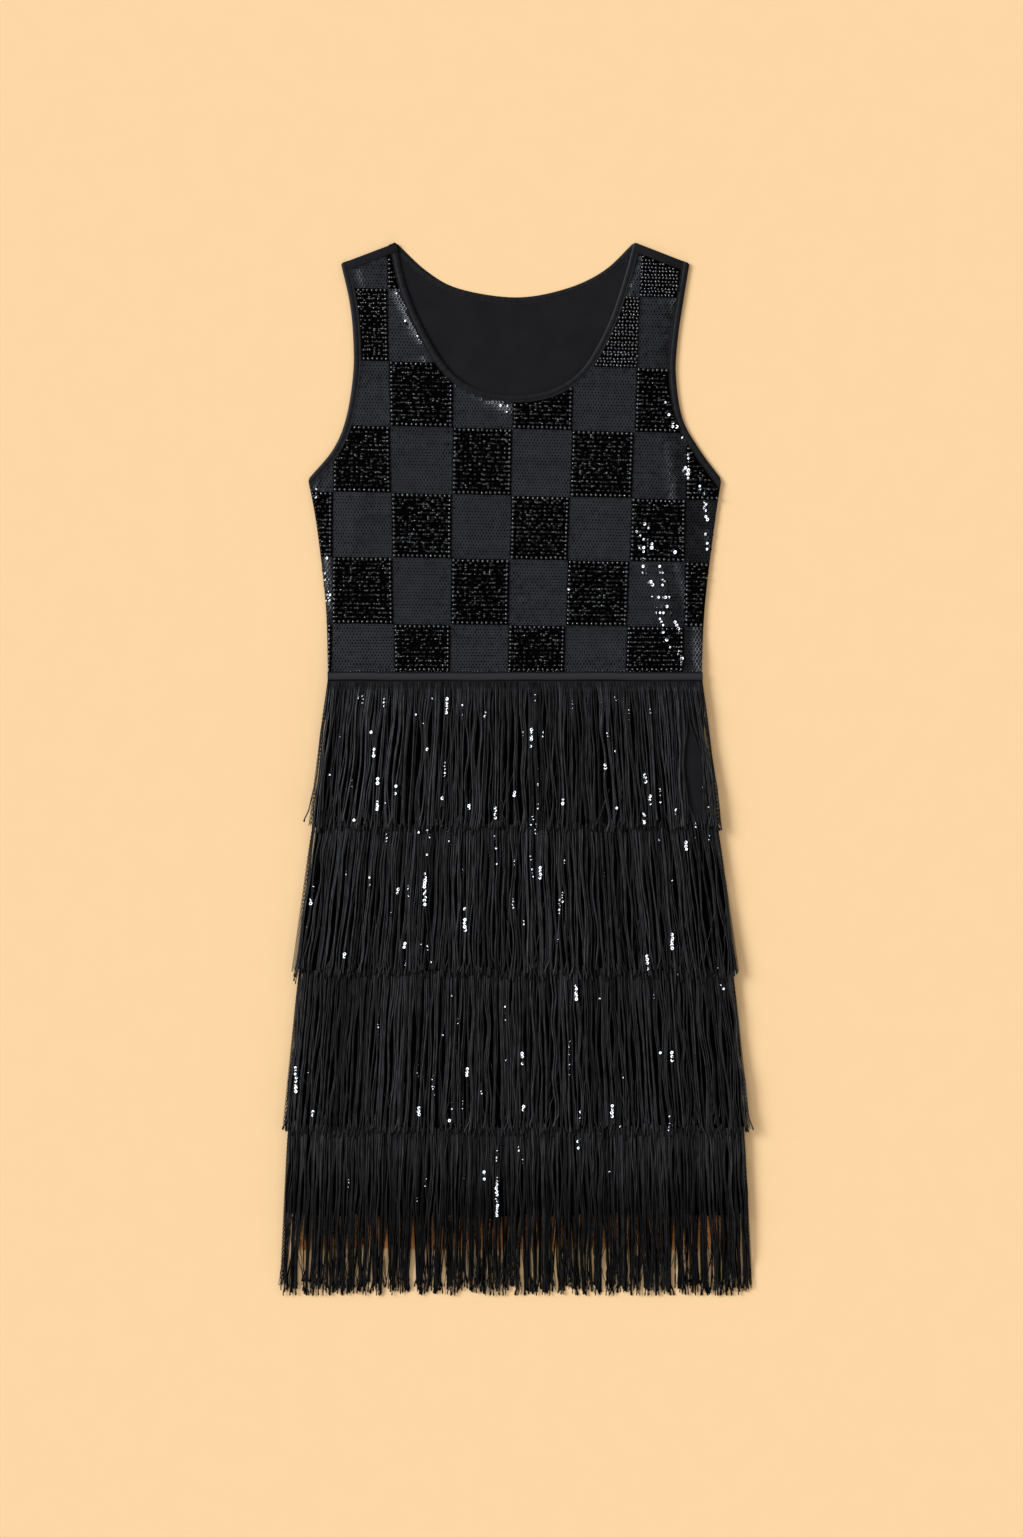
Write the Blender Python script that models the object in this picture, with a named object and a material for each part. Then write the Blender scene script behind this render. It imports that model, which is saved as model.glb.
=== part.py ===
"""A sleeveless flapper dress lying flat on its back, with its front up.

A beaded checkerboard bodice ends at a drop waist.  A plain slip skirt hangs from it, and four overlapping
tiers of fringe cover the slip on the front and on the back.  The panels lie on each other as a laid-out
garment does: back fringe, back slip, front slip, front fringe.

+X is the wearer's left, +Y points to the shoulders and +Z is up.  The origin is the middle of the lay, on
the surface that the dress rests on.  Sizes are in millimetres, and MM turns them into metres.
"""

from collections import namedtuple
import math

import bmesh
import bpy
from mathutils import Vector

MM = 0.001

# --- Cloth, trims and clearances ---------------------------------------------------------------------
CLOTH = 1.5                  # wall of a bodice panel or of the slip
SEAM_GAP = 0.3               # between two pieces that meet
BINDING_WIDTH = 7.0          # folded band round the neck and the armholes
BINDING_CROWN = 0.5          # its middle stands this much prouder than its edges
SHOULDER_BAND = 9.0          # plain cloth at the shoulder seam, folded over to the back
FOLD_ROUND = 1.4             # how far in from the shoulder the fold starts to turn
WAIST_TAPE = 9.0
TAPE_THICKNESS = 1.2
HEADER_WIDTH = 8.0           # sewn heading that the fringe hangs from
LOCK_THICKNESS = 1.2
LOCK_SHARE = 0.75            # of the pitch that a lock takes at its root
LOCK_WAIST = 0.90            # of that width left where it turns towards its end
LOCK_POINT = 0.70            # of that width left at its loose end
LOCK_SWAY = 0.6              # how far a lock wanders sideways, within the space beside it
SWAY_TURN = 2.4              # radians of sway from one lock to the next
CLUMP = 4                    # neighbouring locks that lean together at their loose ends
CLUMP_PULL = 0.8             # how much closer two of them come
UNEVEN_TURN = 1.9            # radians of unevenness from one lock to the next
BEAD_RISE = 0.8              # a beaded square stands this much above a sequined one
BEAD_BORDER = 0.8            # the slope at its edge

# --- Layers of the lay, from the floor up: height of each underside ----------------------------------
BACK_TIPS = SEAM_GAP
BACK_TAPE = BACK_TIPS + LOCK_THICKNESS + SEAM_GAP
BACK_SLIP = BACK_TAPE + TAPE_THICKNESS + SEAM_GAP
FRONT_SLIP = BACK_SLIP + CLOTH + SEAM_GAP
FRONT_TAPE = FRONT_SLIP + CLOTH + SEAM_GAP
FRONT_TIPS = FRONT_TAPE + TAPE_THICKNESS + SEAM_GAP
HEM_DROP = BACK_TIPS + LOCK_THICKNESS + 2 * SEAM_GAP   # front ends, where no slip lies under them

# --- Outline of the bodice ---------------------------------------------------------------------------
HALF_LENGTH = 527.5          # from the middle of the lay to the shoulder tips and to the longest lock
WAIST = 93.0                 # the seam that the waist tape covers
Edge = namedtuple("Edge", "y right left")

SIDE_SEAM = [
    Edge(WAIST, -188.0, 185.5),
    Edge(164.0, -190.3, 189.0),
    Edge(243.5, -199.4, 198.5),
    Edge(290.5, -208.0, 205.5),
]
ARMHOLE = [
    Edge(290.5, -208.0, 205.5),
    Edge(320.5, -183.0, 183.5),
    Edge(352.0, -170.0, 166.5),
    Edge(396.0, -163.0, 160.0),
    Edge(433.5, -163.0, 162.3),
    Edge(468.0, -166.6, 167.4),
    Edge(506.5, -175.2, 173.7),
]
FRONT_NECK = [
    Edge(HALF_LENGTH, -120.0, 120.0),
    Edge(483.5, -110.0, 105.5),
    Edge(440.0, -92.0, 89.5),
    Edge(400.5, -67.0, 66.0),
    Edge(380.5, -38.0, 36.0),
    Edge(374.5, 0.0, 0.0),
]
BACK_NECK = [
    Edge(HALF_LENGTH, -120.0, 120.0),
    Edge(499.5, -90.0, 88.0),
    Edge(481.5, -57.0, 50.0),
    Edge(472.8, 0.0, 0.0),
]
CURVE_STEPS = 4              # points drawn between two rows of an outline

# --- Checkerboard of the bodice ------------------------------------------------------------------------
# A column's border runs from its X at the waist to its X at the shoulders, and a row's border from its Y on
# the wearer's right to its Y on the left: the cloth lies a little askew.
Border = namedtuple("Border", "start end")
CHECK_FOOT = WAIST + WAIST_TAPE / 2 + SEAM_GAP
CHECK_COLUMNS = [
    Border(-184.5, -181.0),
    Border(-121.5, -129.5),
    Border(-66.0, -61.0),
    Border(-8.5, 0.0),
    Border(48.0, 62.0),
    Border(109.0, 125.5),
    Border(167.5, 173.0),
]
CHECK_ROWS = [
    Border(CHECK_FOOT, CHECK_FOOT),
    Border(146.0, 142.5),
    Border(213.0, 207.0),
    Border(278.0, 269.5),
    Border(345.0, 336.0),
    Border(410.0, 400.0),
    Border(483.0, 471.0),
]
CHECK_SPAN = 188.0           # X of both ends of a row's border
SMALLEST_CHECK = 120.0       # square millimetres: a smaller corner of a square stays flat

# --- How the front lies over the back ----------------------------------------------------------------
PUFF = 3.6                   # air between the panels in the middle of the bodice
SIDE_ROLL = 62.0             # distance from a side over which the front comes down to the back
RISE_START = 152.0           # the bodice climbs from here to the layers of the skirt
Lift = namedtuple("Lift", "y share")
PUFF_ALONG = [
    Lift(WAIST, 0.0),
    Lift(CHECK_FOOT, 0.0),
    Lift(150.0, 0.75),
    Lift(215.0, 1.0),
    Lift(300.0, 1.0),
    Lift(375.0, 0.6),
    Lift(440.0, 0.3),
    Lift(495.0, 0.0),
    Lift(HALF_LENGTH, 0.0),
]
Crease = namedtuple("Crease", "top_x top_y foot_x foot_y reach height")
CREASES = [
    Crease(157.0, 336.0, 168.0, 112.0, 9.0, 1.7),
    Crease(-176.0, 300.0, -170.0, 150.0, 9.0, 0.9),
]
CREASE_COLUMNS = [-176.0, 150.0, 160.0, 178.0]
RISE_ROWS = [113.0, 130.0]

# --- Slip skirt and its fringe -----------------------------------------------------------------------
SLIP_SIDE = [
    Edge(WAIST, -188.0, 186.0),
    Edge(20.0, -195.5, 193.5),
    Edge(-56.5, -203.0, 201.0),
    Edge(-130.0, -210.5, 209.5),
    Edge(-205.5, -217.0, 217.0),
    Edge(-285.0, -223.5, 223.5),
    Edge(-362.5, -228.0, 228.0),
    Edge(-420.0, -230.0, 229.5),
    Edge(-480.0, -231.0, 230.0),
]
FRONT_HEM = -441.5
BACK_HEM = -480.0

# One row a tier: the heading's upper edge, then the loose ends, and the height that the underside of a lock
# has at its bend, at its turn and at its end.
Tier = namedtuple("Tier", "heading bend bend_z turn turn_z end end_z end_right end_left uneven locks")
TAPE_FOOT = WAIST - WAIST_TAPE / 2 - SEAM_GAP
FRONT_TIERS = [
    Tier(TAPE_FOOT, 15.0, FRONT_TAPE, -42.0, FRONT_TIPS, -59.0, FRONT_TIPS, -207.0, 204.5, 3.0, 41),
    Tier(-45.0, -120.0, FRONT_TAPE, -187.0, FRONT_TIPS, -205.0, FRONT_TIPS, -224.0, 222.5, 4.0, 44),
    Tier(-190.0, -270.0, FRONT_TAPE, -342.0, FRONT_TIPS, -362.0, FRONT_TIPS, -233.0, 234.0, 4.0, 47),
    Tier(-345.0, -443.0, FRONT_TAPE, -482.5, FRONT_SLIP, -517.5, HEM_DROP, -236.0, 236.0, 10.0, 49),
]
BACK_TIERS = [
    Tier(TAPE_FOOT, 40.0, BACK_TIPS, -20.0, BACK_TIPS, -58.0, BACK_TIPS, -206.0, 203.5, 3.0, 16),
    Tier(-45.0, -70.0, BACK_TAPE, -110.0, BACK_TIPS, -204.0, BACK_TIPS, -222.0, 221.0, 4.0, 17),
    Tier(-190.0, -216.0, BACK_TAPE, -256.0, BACK_TIPS, -361.0, BACK_TIPS, -232.0, 232.5, 4.0, 17),
    Tier(-345.0, -373.0, BACK_TAPE, -413.0, BACK_TIPS, -515.0, BACK_TIPS, -235.0, 235.0, 9.0, 18),
]

# --- Finishes: linear colour, roughness ---------------------------------------------------------------
Finish = namedtuple("Finish", "colour roughness")
BEADED_CLOTH = Finish((0.012, 0.012, 0.014), 0.45)
PLAIN_CLOTH = Finish((0.010, 0.010, 0.012), 0.85)
SATIN_BAND = Finish((0.008, 0.008, 0.010), 0.60)
RAYON_FRINGE = Finish((0.006, 0.006, 0.007), 0.50)
SHARP_ANGLE = math.radians(40.0)
STRAIGHT = 1e-4              # a turn smaller than this counts as no corner


def clear_scene():
    """Remove every object, so that the model is alone."""
    for item in list(bpy.data.objects):
        bpy.data.objects.remove(item, do_unlink=True)


def make_material(name, finish):
    """Principled material with the finish's colour and roughness."""
    material = bpy.data.materials.new(name)
    material.use_nodes = True
    shader = material.node_tree.nodes["Principled BSDF"]
    shader.inputs["Base Color"].default_value = (*finish.colour, 1.0)
    shader.inputs["Roughness"].default_value = finish.roughness
    shader.inputs["Metallic"].default_value = 0.0
    return material


def ease(share):
    """Smooth step from 0 to 1."""
    held = min(max(share, 0.0), 1.0)
    return held * held * (3.0 - 2.0 * held)


def read_table(rows, y, column):
    """Value of a named column at y, straight between the two rows around it."""
    ordered = sorted(rows, key=lambda row: row.y)
    if y <= ordered[0].y:
        return getattr(ordered[0], column)
    for low, high in zip(ordered, ordered[1:]):
        if y <= high.y:
            share = (y - low.y) / (high.y - low.y)
            start = getattr(low, column)
            return start + share * (getattr(high, column) - start)
    return getattr(ordered[-1], column)


def smooth_curve(points):
    """Catmull-Rom curve through the points, ends included."""
    padded = [2 * points[0] - points[1], *points, 2 * points[-1] - points[-2]]
    curve = []
    for a, b, c, d in zip(padded, padded[1:], padded[2:], padded[3:]):
        for step in range(CURVE_STEPS):
            t = step / CURVE_STEPS
            curve.append(0.5 * (2 * b + (c - a) * t + (2 * a - 5 * b + 4 * c - d) * t ** 2
                                + (3 * b - a - 3 * c + d) * t ** 3))
    curve.append(points[-1])
    return curve


def table_curve(rows, side):
    """Smooth curve through one side's column of a table."""
    return smooth_curve([Vector((getattr(row, side), row.y)) for row in rows])


def neck_curve(rows):
    """Smooth curve from the right shoulder down round the neck and up to the left shoulder."""
    right = [Vector((row.right, row.y)) for row in rows]
    left = [Vector((row.left, row.y)) for row in rows]
    return smooth_curve(right + left[-2::-1])


def bodice_outline(neck):
    """Closed outline of a bodice panel, clockwise from the waist, and the kind of each edge that follows."""
    stretches = [
        ("side", table_curve(SIDE_SEAM, "right")),
        ("right_armhole", table_curve(ARMHOLE, "right")),
        ("right_shoulder", [Vector((ARMHOLE[-1].right, ARMHOLE[-1].y)), Vector((neck[0].right, neck[0].y))]),
        ("neck", neck_curve(neck)),
        ("left_shoulder", [Vector((neck[0].left, neck[0].y)), Vector((ARMHOLE[-1].left, ARMHOLE[-1].y))]),
        ("left_armhole", table_curve(ARMHOLE, "left")[::-1]),
        ("side", table_curve(SIDE_SEAM, "left")[::-1]),
    ]
    points = []
    kinds = []
    for kind, curve in stretches:
        points.extend(curve[:-1])
        kinds.extend([kind] * (len(curve) - 1))
    points.append(stretches[-1][1][-1])
    kinds.append("waist")
    return points, kinds


def moved_in(points, kinds, insets):
    """The outline with each edge moved inwards by the distance of its kind, mitred where two edges meet."""
    moved = []
    for i, corner in enumerate(points):
        before = (corner - points[i - 1]).normalized()
        after = (points[(i + 1) % len(points)] - corner).normalized()
        depth_before = insets.get(kinds[i - 1], 0.0)
        depth_after = insets.get(kinds[i], 0.0)
        n1 = Vector((before.y, -before.x))
        n2 = Vector((after.y, -after.x))
        turn = n1.x * n2.y - n1.y * n2.x
        if abs(turn) < STRAIGHT:
            shift = n1 * depth_before
        else:
            shift = Vector((depth_before * n2.y - depth_after * n1.y,
                            depth_after * n1.x - depth_before * n2.x)) / turn
        moved.append(corner + shift)
    return moved


def stretch(points, kinds, wanted):
    """The points along one kind of edge, both ends included."""
    inside = [i for i, kind in enumerate(kinds) if kind == wanted]
    return [points[i] for i in inside] + [points[inside[-1] + 1]]


def back_height(x, y):
    """Underside of the back bodice: flat on the floor, then up to the slip's layer."""
    return BACK_SLIP * ease((RISE_START - y) / (RISE_START - CHECK_FOOT))


def side_distance(x, y):
    """Distance in X to the nearer side or armhole edge."""
    rows = SIDE_SEAM if y < ARMHOLE[0].y else ARMHOLE
    return min(x - read_table(rows, y, "right"), read_table(rows, y, "left") - x)


def crease_height(x, y):
    """Soft ridges where the front doesn't lie smooth."""
    height = 0.0
    for fold in CREASES:
        along = (fold.top_y - y) / (fold.top_y - fold.foot_y)
        if 0.0 < along < 1.0:
            middle = fold.top_x + along * (fold.foot_x - fold.top_x)
            across = math.exp(-((x - middle) / fold.reach) ** 2)
            height += fold.height * across * math.sin(math.pi * along)
    return height


def front_height(x, y):
    """Underside of the front bodice: on the back at its edges, lifted a little in the middle."""
    puff = PUFF * ease(side_distance(x, y) / SIDE_ROLL) * read_table(PUFF_ALONG, y, "share")
    return back_height(x, y) + CLOTH + SEAM_GAP + puff + crease_height(x, y)


def new_object(name, mesh, material, parent):
    """Turn a finished bmesh into a smooth-shaded object under the dress's empty."""
    bmesh.ops.recalc_face_normals(mesh, faces=mesh.faces[:])
    data = bpy.data.meshes.new(name)
    mesh.to_mesh(data)
    mesh.free()
    data.shade_smooth()
    data.set_sharp_from_angle(angle=SHARP_ANGLE)
    data.materials.append(material)
    item = bpy.data.objects.new(name, data)
    item.parent = parent
    bpy.context.collection.objects.link(item)
    return item


def column_x(border, y):
    """X of a column's border at y."""
    return border.start + (border.end - border.start) * (y - WAIST) / (HALF_LENGTH - WAIST)


def row_y(border, x):
    """Y of a row's border at x."""
    return border.start + (border.end - border.start) * (x + CHECK_SPAN) / (2 * CHECK_SPAN)


def column_lines(borders):
    """Each column border as two points on it."""
    return [(Vector((column_x(border, WAIST), WAIST)), Vector((column_x(border, HALF_LENGTH), HALF_LENGTH)))
            for border in borders]


def row_lines(borders):
    """Each row border as two points on it."""
    return [(Vector((-CHECK_SPAN, border.start)), Vector((CHECK_SPAN, border.end))) for border in borders]


def straight(places):
    """Borders that don't lean."""
    return [Border(place, place) for place in places]


def with_middles(borders, first, last):
    """Borders with one more midway between each two, and midway to the first and the last place."""
    ends = [Border(first, first), *borders, Border(last, last)]
    middles = [Border((a.start + b.start) / 2, (a.end + b.end) / 2) for a, b in zip(ends, ends[1:])]
    return [*borders, *middles]


def cut_along(mesh, lines):
    """Cut the sheet with upright planes through the lines."""
    for start, end in lines:
        along = end - start
        normal = Vector((along.y, -along.x, 0.0)).normalized()
        everything = mesh.verts[:] + mesh.edges[:] + mesh.faces[:]
        bmesh.ops.bisect_plane(mesh, geom=everything, dist=1e-7, plane_co=start.to_3d() * MM, plane_no=normal)


def sheet(outline, lines, height):
    """A cloth wall: the outline cut into cells, with its underside at height(x, y) and its top above that."""
    mesh = bmesh.new()
    mesh.faces.new([mesh.verts.new((point.x * MM, point.y * MM, 0.0)) for point in outline])
    cut_along(mesh, lines)
    lower = mesh.verts[:]
    raised = bmesh.ops.extrude_face_region(mesh, geom=mesh.faces[:], use_keep_orig=True)["geom"]
    upper = [item for item in raised if isinstance(item, bmesh.types.BMVert)]
    top_faces = [item for item in raised if isinstance(item, bmesh.types.BMFace)]
    for vert in lower:
        vert.co.z = height(vert.co.x / MM, vert.co.y / MM) * MM
    for vert in upper:
        vert.co.z = (height(vert.co.x / MM, vert.co.y / MM) + CLOTH) * MM
    bmesh.ops.recalc_face_normals(mesh, faces=mesh.faces[:])
    return mesh, top_faces


def check_of(x, y):
    """Column and row of the checkerboard at a place, or None on the plain edge under the waist tape."""
    if y < CHECK_FOOT:
        return None
    column = sum(1 for border in CHECK_COLUMNS if x > column_x(border, y))
    row = sum(1 for border in CHECK_ROWS[1:] if y > row_y(border, x))
    return column, row


def raise_beaded_squares(mesh, top_faces):
    """Lift every second square of the checkerboard, each with a sloping edge."""
    squares = {}
    for face in top_faces:
        middle = face.calc_center_median()
        square = check_of(middle.x / MM, middle.y / MM)
        if square and sum(square) % 2 == 0:
            squares.setdefault(square, []).append(face)
    for faces in squares.values():
        if sum(face.calc_area() for face in faces) > SMALLEST_CHECK * MM * MM:
            bmesh.ops.inset_region(mesh, faces=faces, thickness=BEAD_BORDER * MM, depth=BEAD_RISE * MM,
                                   use_even_offset=True, use_boundary=True)


def loft(mesh, sections):
    """Skin a row of closed sections with quads and close both ends."""
    rings = []
    for section in sections:
        rings.append([mesh.verts.new(Vector(point) * MM) for point in section])
    for ring, following in zip(rings, rings[1:]):
        for i in range(len(ring)):
            j = (i + 1) % len(ring)
            mesh.faces.new([ring[i], ring[j], following[j], following[i]])
    mesh.faces.new(rings[0][::-1])
    mesh.faces.new(rings[-1])


def binding(points, kinds, edge, height, crown, stop):
    """Folded band along one edge of a panel, as far as stop from the shoulder line, crowned in the middle."""
    ends = {"right_shoulder": stop, "left_shoulder": stop}
    outer = stretch(moved_in(points, kinds, ends), kinds, edge)
    inner = stretch(moved_in(points, kinds, {**ends, edge: BINDING_WIDTH}), kinds, edge)
    sections = []
    for near, far in zip(outer, inner):
        middle = (near + far) / 2
        sections.append([
            (near.x, near.y, height(near.x, near.y)),
            (far.x, far.y, height(far.x, far.y)),
            (far.x, far.y, height(far.x, far.y) + CLOTH),
            (middle.x, middle.y, height(middle.x, middle.y) + CLOTH + crown),
            (near.x, near.y, height(near.x, near.y) + CLOTH),
        ])
    mesh = bmesh.new()
    loft(mesh, sections)
    return mesh


def shoulder_band(points, kinds, side):
    """Plain cloth between two bindings, turned over the shoulder from the front to the back."""
    edge = side + "_shoulder"
    clear = {"neck": BINDING_WIDTH + SEAM_GAP, side + "_armhole": BINDING_WIDTH + SEAM_GAP}
    front = 2 * CLOTH + SEAM_GAP
    half = front / 2
    turn = FOLD_ROUND
    profile = [
        (SHOULDER_BAND, 0.0),
        (turn, 0.0),
        (turn / 4, half / 3),
        (0.0, half),
        (turn / 4, front - half / 3),
        (turn, front),
        (SHOULDER_BAND, front),
        (SHOULDER_BAND, CLOTH + SEAM_GAP),
        (turn + CLOTH / 2, CLOTH + SEAM_GAP),
        (turn + CLOTH / 2, CLOTH),
        (SHOULDER_BAND, CLOTH),
    ]
    ends = ([], [])
    for depth, level in profile:
        line = stretch(moved_in(points, kinds, {**clear, edge: depth}), kinds, edge)
        for end, point in zip(ends, (line[0], line[-1])):
            end.append((point.x, point.y, level))
    mesh = bmesh.new()
    loft(mesh, ends)
    return mesh


def flat_strip(rows, stations, underside, thickness):
    """Flat cloth between the two sides of a table, at the given stations along Y."""
    sections = []
    for y in stations:
        right = read_table(rows, y, "right")
        left = read_table(rows, y, "left")
        sections.append([
            (right, y, underside),
            (left, y, underside),
            (left, y, underside + thickness),
            (right, y, underside + thickness),
        ])
    mesh = bmesh.new()
    loft(mesh, sections)
    return mesh


def slip_stations(hem):
    """Waist, hem and the rows of the side between them."""
    inner = [row.y for row in SLIP_SIDE if hem < row.y < WAIST]
    return [WAIST - SEAM_GAP / 2, *inner, hem]


def place_lock_end(face, middle, width, y, underside):
    """Put the four corners of a lock's open end, whose order is the heading's own."""
    corners = [
        (middle - width / 2, y, underside),
        (middle + width / 2, y, underside),
        (middle + width / 2, y, underside + LOCK_THICKNESS),
        (middle - width / 2, y, underside + LOCK_THICKNESS),
    ]
    for loop, corner in zip(face.loops, corners):
        loop.vert.co = Vector(corner) * MM


def fringe_tier(tier, underside):
    """Heading with a row of locks drawn out of its lower edge."""
    right = read_table(SLIP_SIDE, tier.heading, "right")
    left = read_table(SLIP_SIDE, tier.heading, "left")
    pitch = (left - right) / (tier.locks - 1 + LOCK_SHARE)
    root_width = pitch * LOCK_SHARE
    end_pitch = (tier.end_left - tier.end_right - root_width * LOCK_POINT) / (tier.locks - 1)
    foot = tier.heading - HEADER_WIDTH
    borders = []
    for i in range(tier.locks):
        borders.extend([right + i * pitch, right + i * pitch + root_width])
    mesh = bmesh.new()
    rows = []
    for x in borders:
        rows.append([mesh.verts.new(Vector(corner) * MM) for corner in (
            (x, foot, underside), (x, foot, underside + TAPE_THICKNESS),
            (x, tier.heading, underside + TAPE_THICKNESS), (x, tier.heading, underside))])
    roots = []
    for i, (near, far) in enumerate(zip(rows, rows[1:])):
        lower_edge = mesh.faces.new([near[0], far[0], far[1], near[1]])
        mesh.faces.new([near[1], far[1], far[2], near[2]])
        mesh.faces.new([near[2], far[2], far[3], near[3]])
        mesh.faces.new([near[3], far[3], far[0], near[0]])
        if i % 2 == 0:
            roots.append(lower_edge)
    mesh.faces.new(rows[0])
    mesh.faces.new(rows[-1][::-1])
    halfway = (foot + tier.bend) / 2
    halfway_z = (underside + tier.bend_z) / 2
    for i, root in enumerate(roots):
        root_x = right + i * pitch + root_width / 2
        end_x = tier.end_right + root_width * LOCK_POINT / 2 + i * end_pitch
        end_y = max(tier.end + tier.uneven * math.sin(UNEVEN_TURN * i), -HALF_LENGTH)
        sway = 0.0
        if 0 < i < tier.locks - 1:
            sway = LOCK_SWAY * math.sin(SWAY_TURN * i)
            end_x += CLUMP_PULL * ((CLUMP - 1) / 2 - i % CLUMP)
        stations = [
            (halfway, halfway_z, 1.0),
            (tier.bend, tier.bend_z, 1.0),
            (tier.turn, tier.turn_z, LOCK_WAIST),
            (end_y, tier.end_z, LOCK_POINT),
        ]
        face = root
        for y, level, width in stations:
            share = (foot - y) / (foot - end_y)
            middle = root_x + share * (end_x - root_x) + sway * math.sin(math.pi * share)
            face = bmesh.ops.extrude_discrete_faces(mesh, faces=[face])["faces"][0]
            place_lock_end(face, middle, root_width * width, y, level)
    return mesh


def build_bodice(parent, beaded, satin, plain):
    """Front and back panels with their bindings and shoulder bands."""
    seam = BINDING_WIDTH + SEAM_GAP
    shoulder = SHOULDER_BAND + SEAM_GAP
    panel_insets = {
        "neck": seam,
        "right_armhole": seam,
        "left_armhole": seam,
        "right_shoulder": shoulder,
        "left_shoulder": shoulder,
        "waist": SEAM_GAP / 2,
    }
    columns = with_middles(CHECK_COLUMNS, SIDE_SEAM[-1].right, SIDE_SEAM[-1].left)
    rows = with_middles(CHECK_ROWS, WAIST, HALF_LENGTH)
    rise = row_lines(straight(RISE_ROWS))
    front_lines = column_lines(columns + straight(CREASE_COLUMNS)) + row_lines(rows) + rise
    back_lines = column_lines(CHECK_COLUMNS) + row_lines(CHECK_ROWS) + rise

    points, kinds = bodice_outline(FRONT_NECK)
    mesh, top_faces = sheet(moved_in(points, kinds, panel_insets), front_lines, front_height)
    raise_beaded_squares(mesh, top_faces)
    new_object("front_bodice", mesh, beaded, parent)
    neck = binding(points, kinds, "neck", front_height, BINDING_CROWN, 0.0)
    new_object("front_neck_binding", neck, satin, parent)
    for side in ("left", "right"):
        edge = side + "_armhole"
        armhole = binding(points, kinds, edge, front_height, BINDING_CROWN, 0.0)
        new_object(edge + "_binding_front", armhole, satin, parent)
        new_object(side + "_shoulder_band", shoulder_band(points, kinds, side), plain, parent)

    points, kinds = bodice_outline(BACK_NECK)
    mesh, _ = sheet(moved_in(points, kinds, panel_insets), back_lines, back_height)
    new_object("back_bodice", mesh, plain, parent)
    neck = binding(points, kinds, "neck", back_height, 0.0, FOLD_ROUND)
    new_object("back_neck_binding", neck, satin, parent)
    for side in ("left", "right"):
        edge = side + "_armhole"
        armhole = binding(points, kinds, edge, back_height, 0.0, FOLD_ROUND)
        new_object(edge + "_binding_back", armhole, satin, parent)


def build_skirt(parent, plain, satin, rayon):
    """Waist tapes, slip panels and the fringe tiers of both sides."""
    tape = [WAIST + WAIST_TAPE / 2, WAIST, WAIST - WAIST_TAPE / 2]
    layers = [
        ("front", FRONT_SLIP, FRONT_TAPE, FRONT_HEM, FRONT_TIERS),
        ("back", BACK_SLIP, BACK_TAPE, BACK_HEM, BACK_TIERS),
    ]
    for side, slip_level, tape_level, hem, tiers in layers:
        slip = flat_strip(SLIP_SIDE, slip_stations(hem), slip_level, CLOTH)
        new_object(side + "_slip", slip, plain, parent)
        band = flat_strip(SLIP_SIDE, tape, tape_level, TAPE_THICKNESS)
        new_object(side + "_waist_tape", band, satin, parent)
        for number, tier in enumerate(tiers, start=1):
            new_object(f"{side}_fringe_{number}", fringe_tier(tier, tape_level), rayon, parent)


def main():
    """Build the dress under one empty."""
    clear_scene()
    dress = bpy.data.objects.new("flapper_dress", None)
    bpy.context.collection.objects.link(dress)
    beaded = make_material("beaded_mesh_cloth", BEADED_CLOTH)
    plain = make_material("plain_black_cloth", PLAIN_CLOTH)
    satin = make_material("satin_binding", SATIN_BAND)
    rayon = make_material("rayon_fringe", RAYON_FRINGE)
    build_bodice(dress, beaded, satin, plain)
    build_skirt(dress, plain, satin, rayon)


main()
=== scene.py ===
"""The looks of a flapper dress that lies flat on its back: cloth, bindings, beads, sequins and fringe.

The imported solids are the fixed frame.  Thin shells take the form of the cloth solids, folded bands run round
the neck and the armholes, glass beads and sequins are sewn on the checkerboard, and over two thousand strands
hang from the headings of the skirt.  +X is the wearer's left, +Y points to the shoulders and +Z is up.

Sizes are in millimetres, and MM turns them into the frame's metres.
"""

import logging
import math
import random
from contextlib import contextmanager
from dataclasses import dataclass
from enum import Enum
from typing import Callable, Iterable, Iterator

import bpy
from mathutils import Euler, Matrix, Quaternion, Vector
from mathutils.bvhtree import BVHTree
from mathutils.kdtree import KDTree


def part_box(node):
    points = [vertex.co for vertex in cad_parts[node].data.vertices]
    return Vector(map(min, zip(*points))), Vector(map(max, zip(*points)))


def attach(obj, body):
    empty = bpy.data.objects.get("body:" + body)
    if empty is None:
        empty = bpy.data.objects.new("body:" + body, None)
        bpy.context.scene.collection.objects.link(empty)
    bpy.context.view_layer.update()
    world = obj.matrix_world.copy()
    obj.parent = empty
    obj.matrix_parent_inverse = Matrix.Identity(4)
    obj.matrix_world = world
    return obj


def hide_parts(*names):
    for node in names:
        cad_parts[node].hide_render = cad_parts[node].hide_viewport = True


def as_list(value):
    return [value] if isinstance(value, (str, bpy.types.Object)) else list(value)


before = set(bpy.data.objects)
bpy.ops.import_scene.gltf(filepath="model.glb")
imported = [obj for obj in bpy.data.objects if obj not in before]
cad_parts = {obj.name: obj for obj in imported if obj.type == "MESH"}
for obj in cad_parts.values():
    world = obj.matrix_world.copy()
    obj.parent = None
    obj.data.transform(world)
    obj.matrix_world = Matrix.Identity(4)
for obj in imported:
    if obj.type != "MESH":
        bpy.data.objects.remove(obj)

Piece = bpy.types.Object
Tree = bpy.types.NodeTree
Socket = bpy.types.NodeSocket
Dice = random.Random
Pair = tuple[float, float]
Route = list[tuple[float, float, float, float]]

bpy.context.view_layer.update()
LOG = logging.getLogger("flapper_dress")
MM = 0.001
BODY = "root"
UP = Vector((0.0, 0.0, 1.0))
DOWN = Vector((0.0, 0.0, -1.0))
ORIGIN = (0.0, 0.0, 0.0)
ANY_TURN = (0.0, 6.3)

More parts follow.
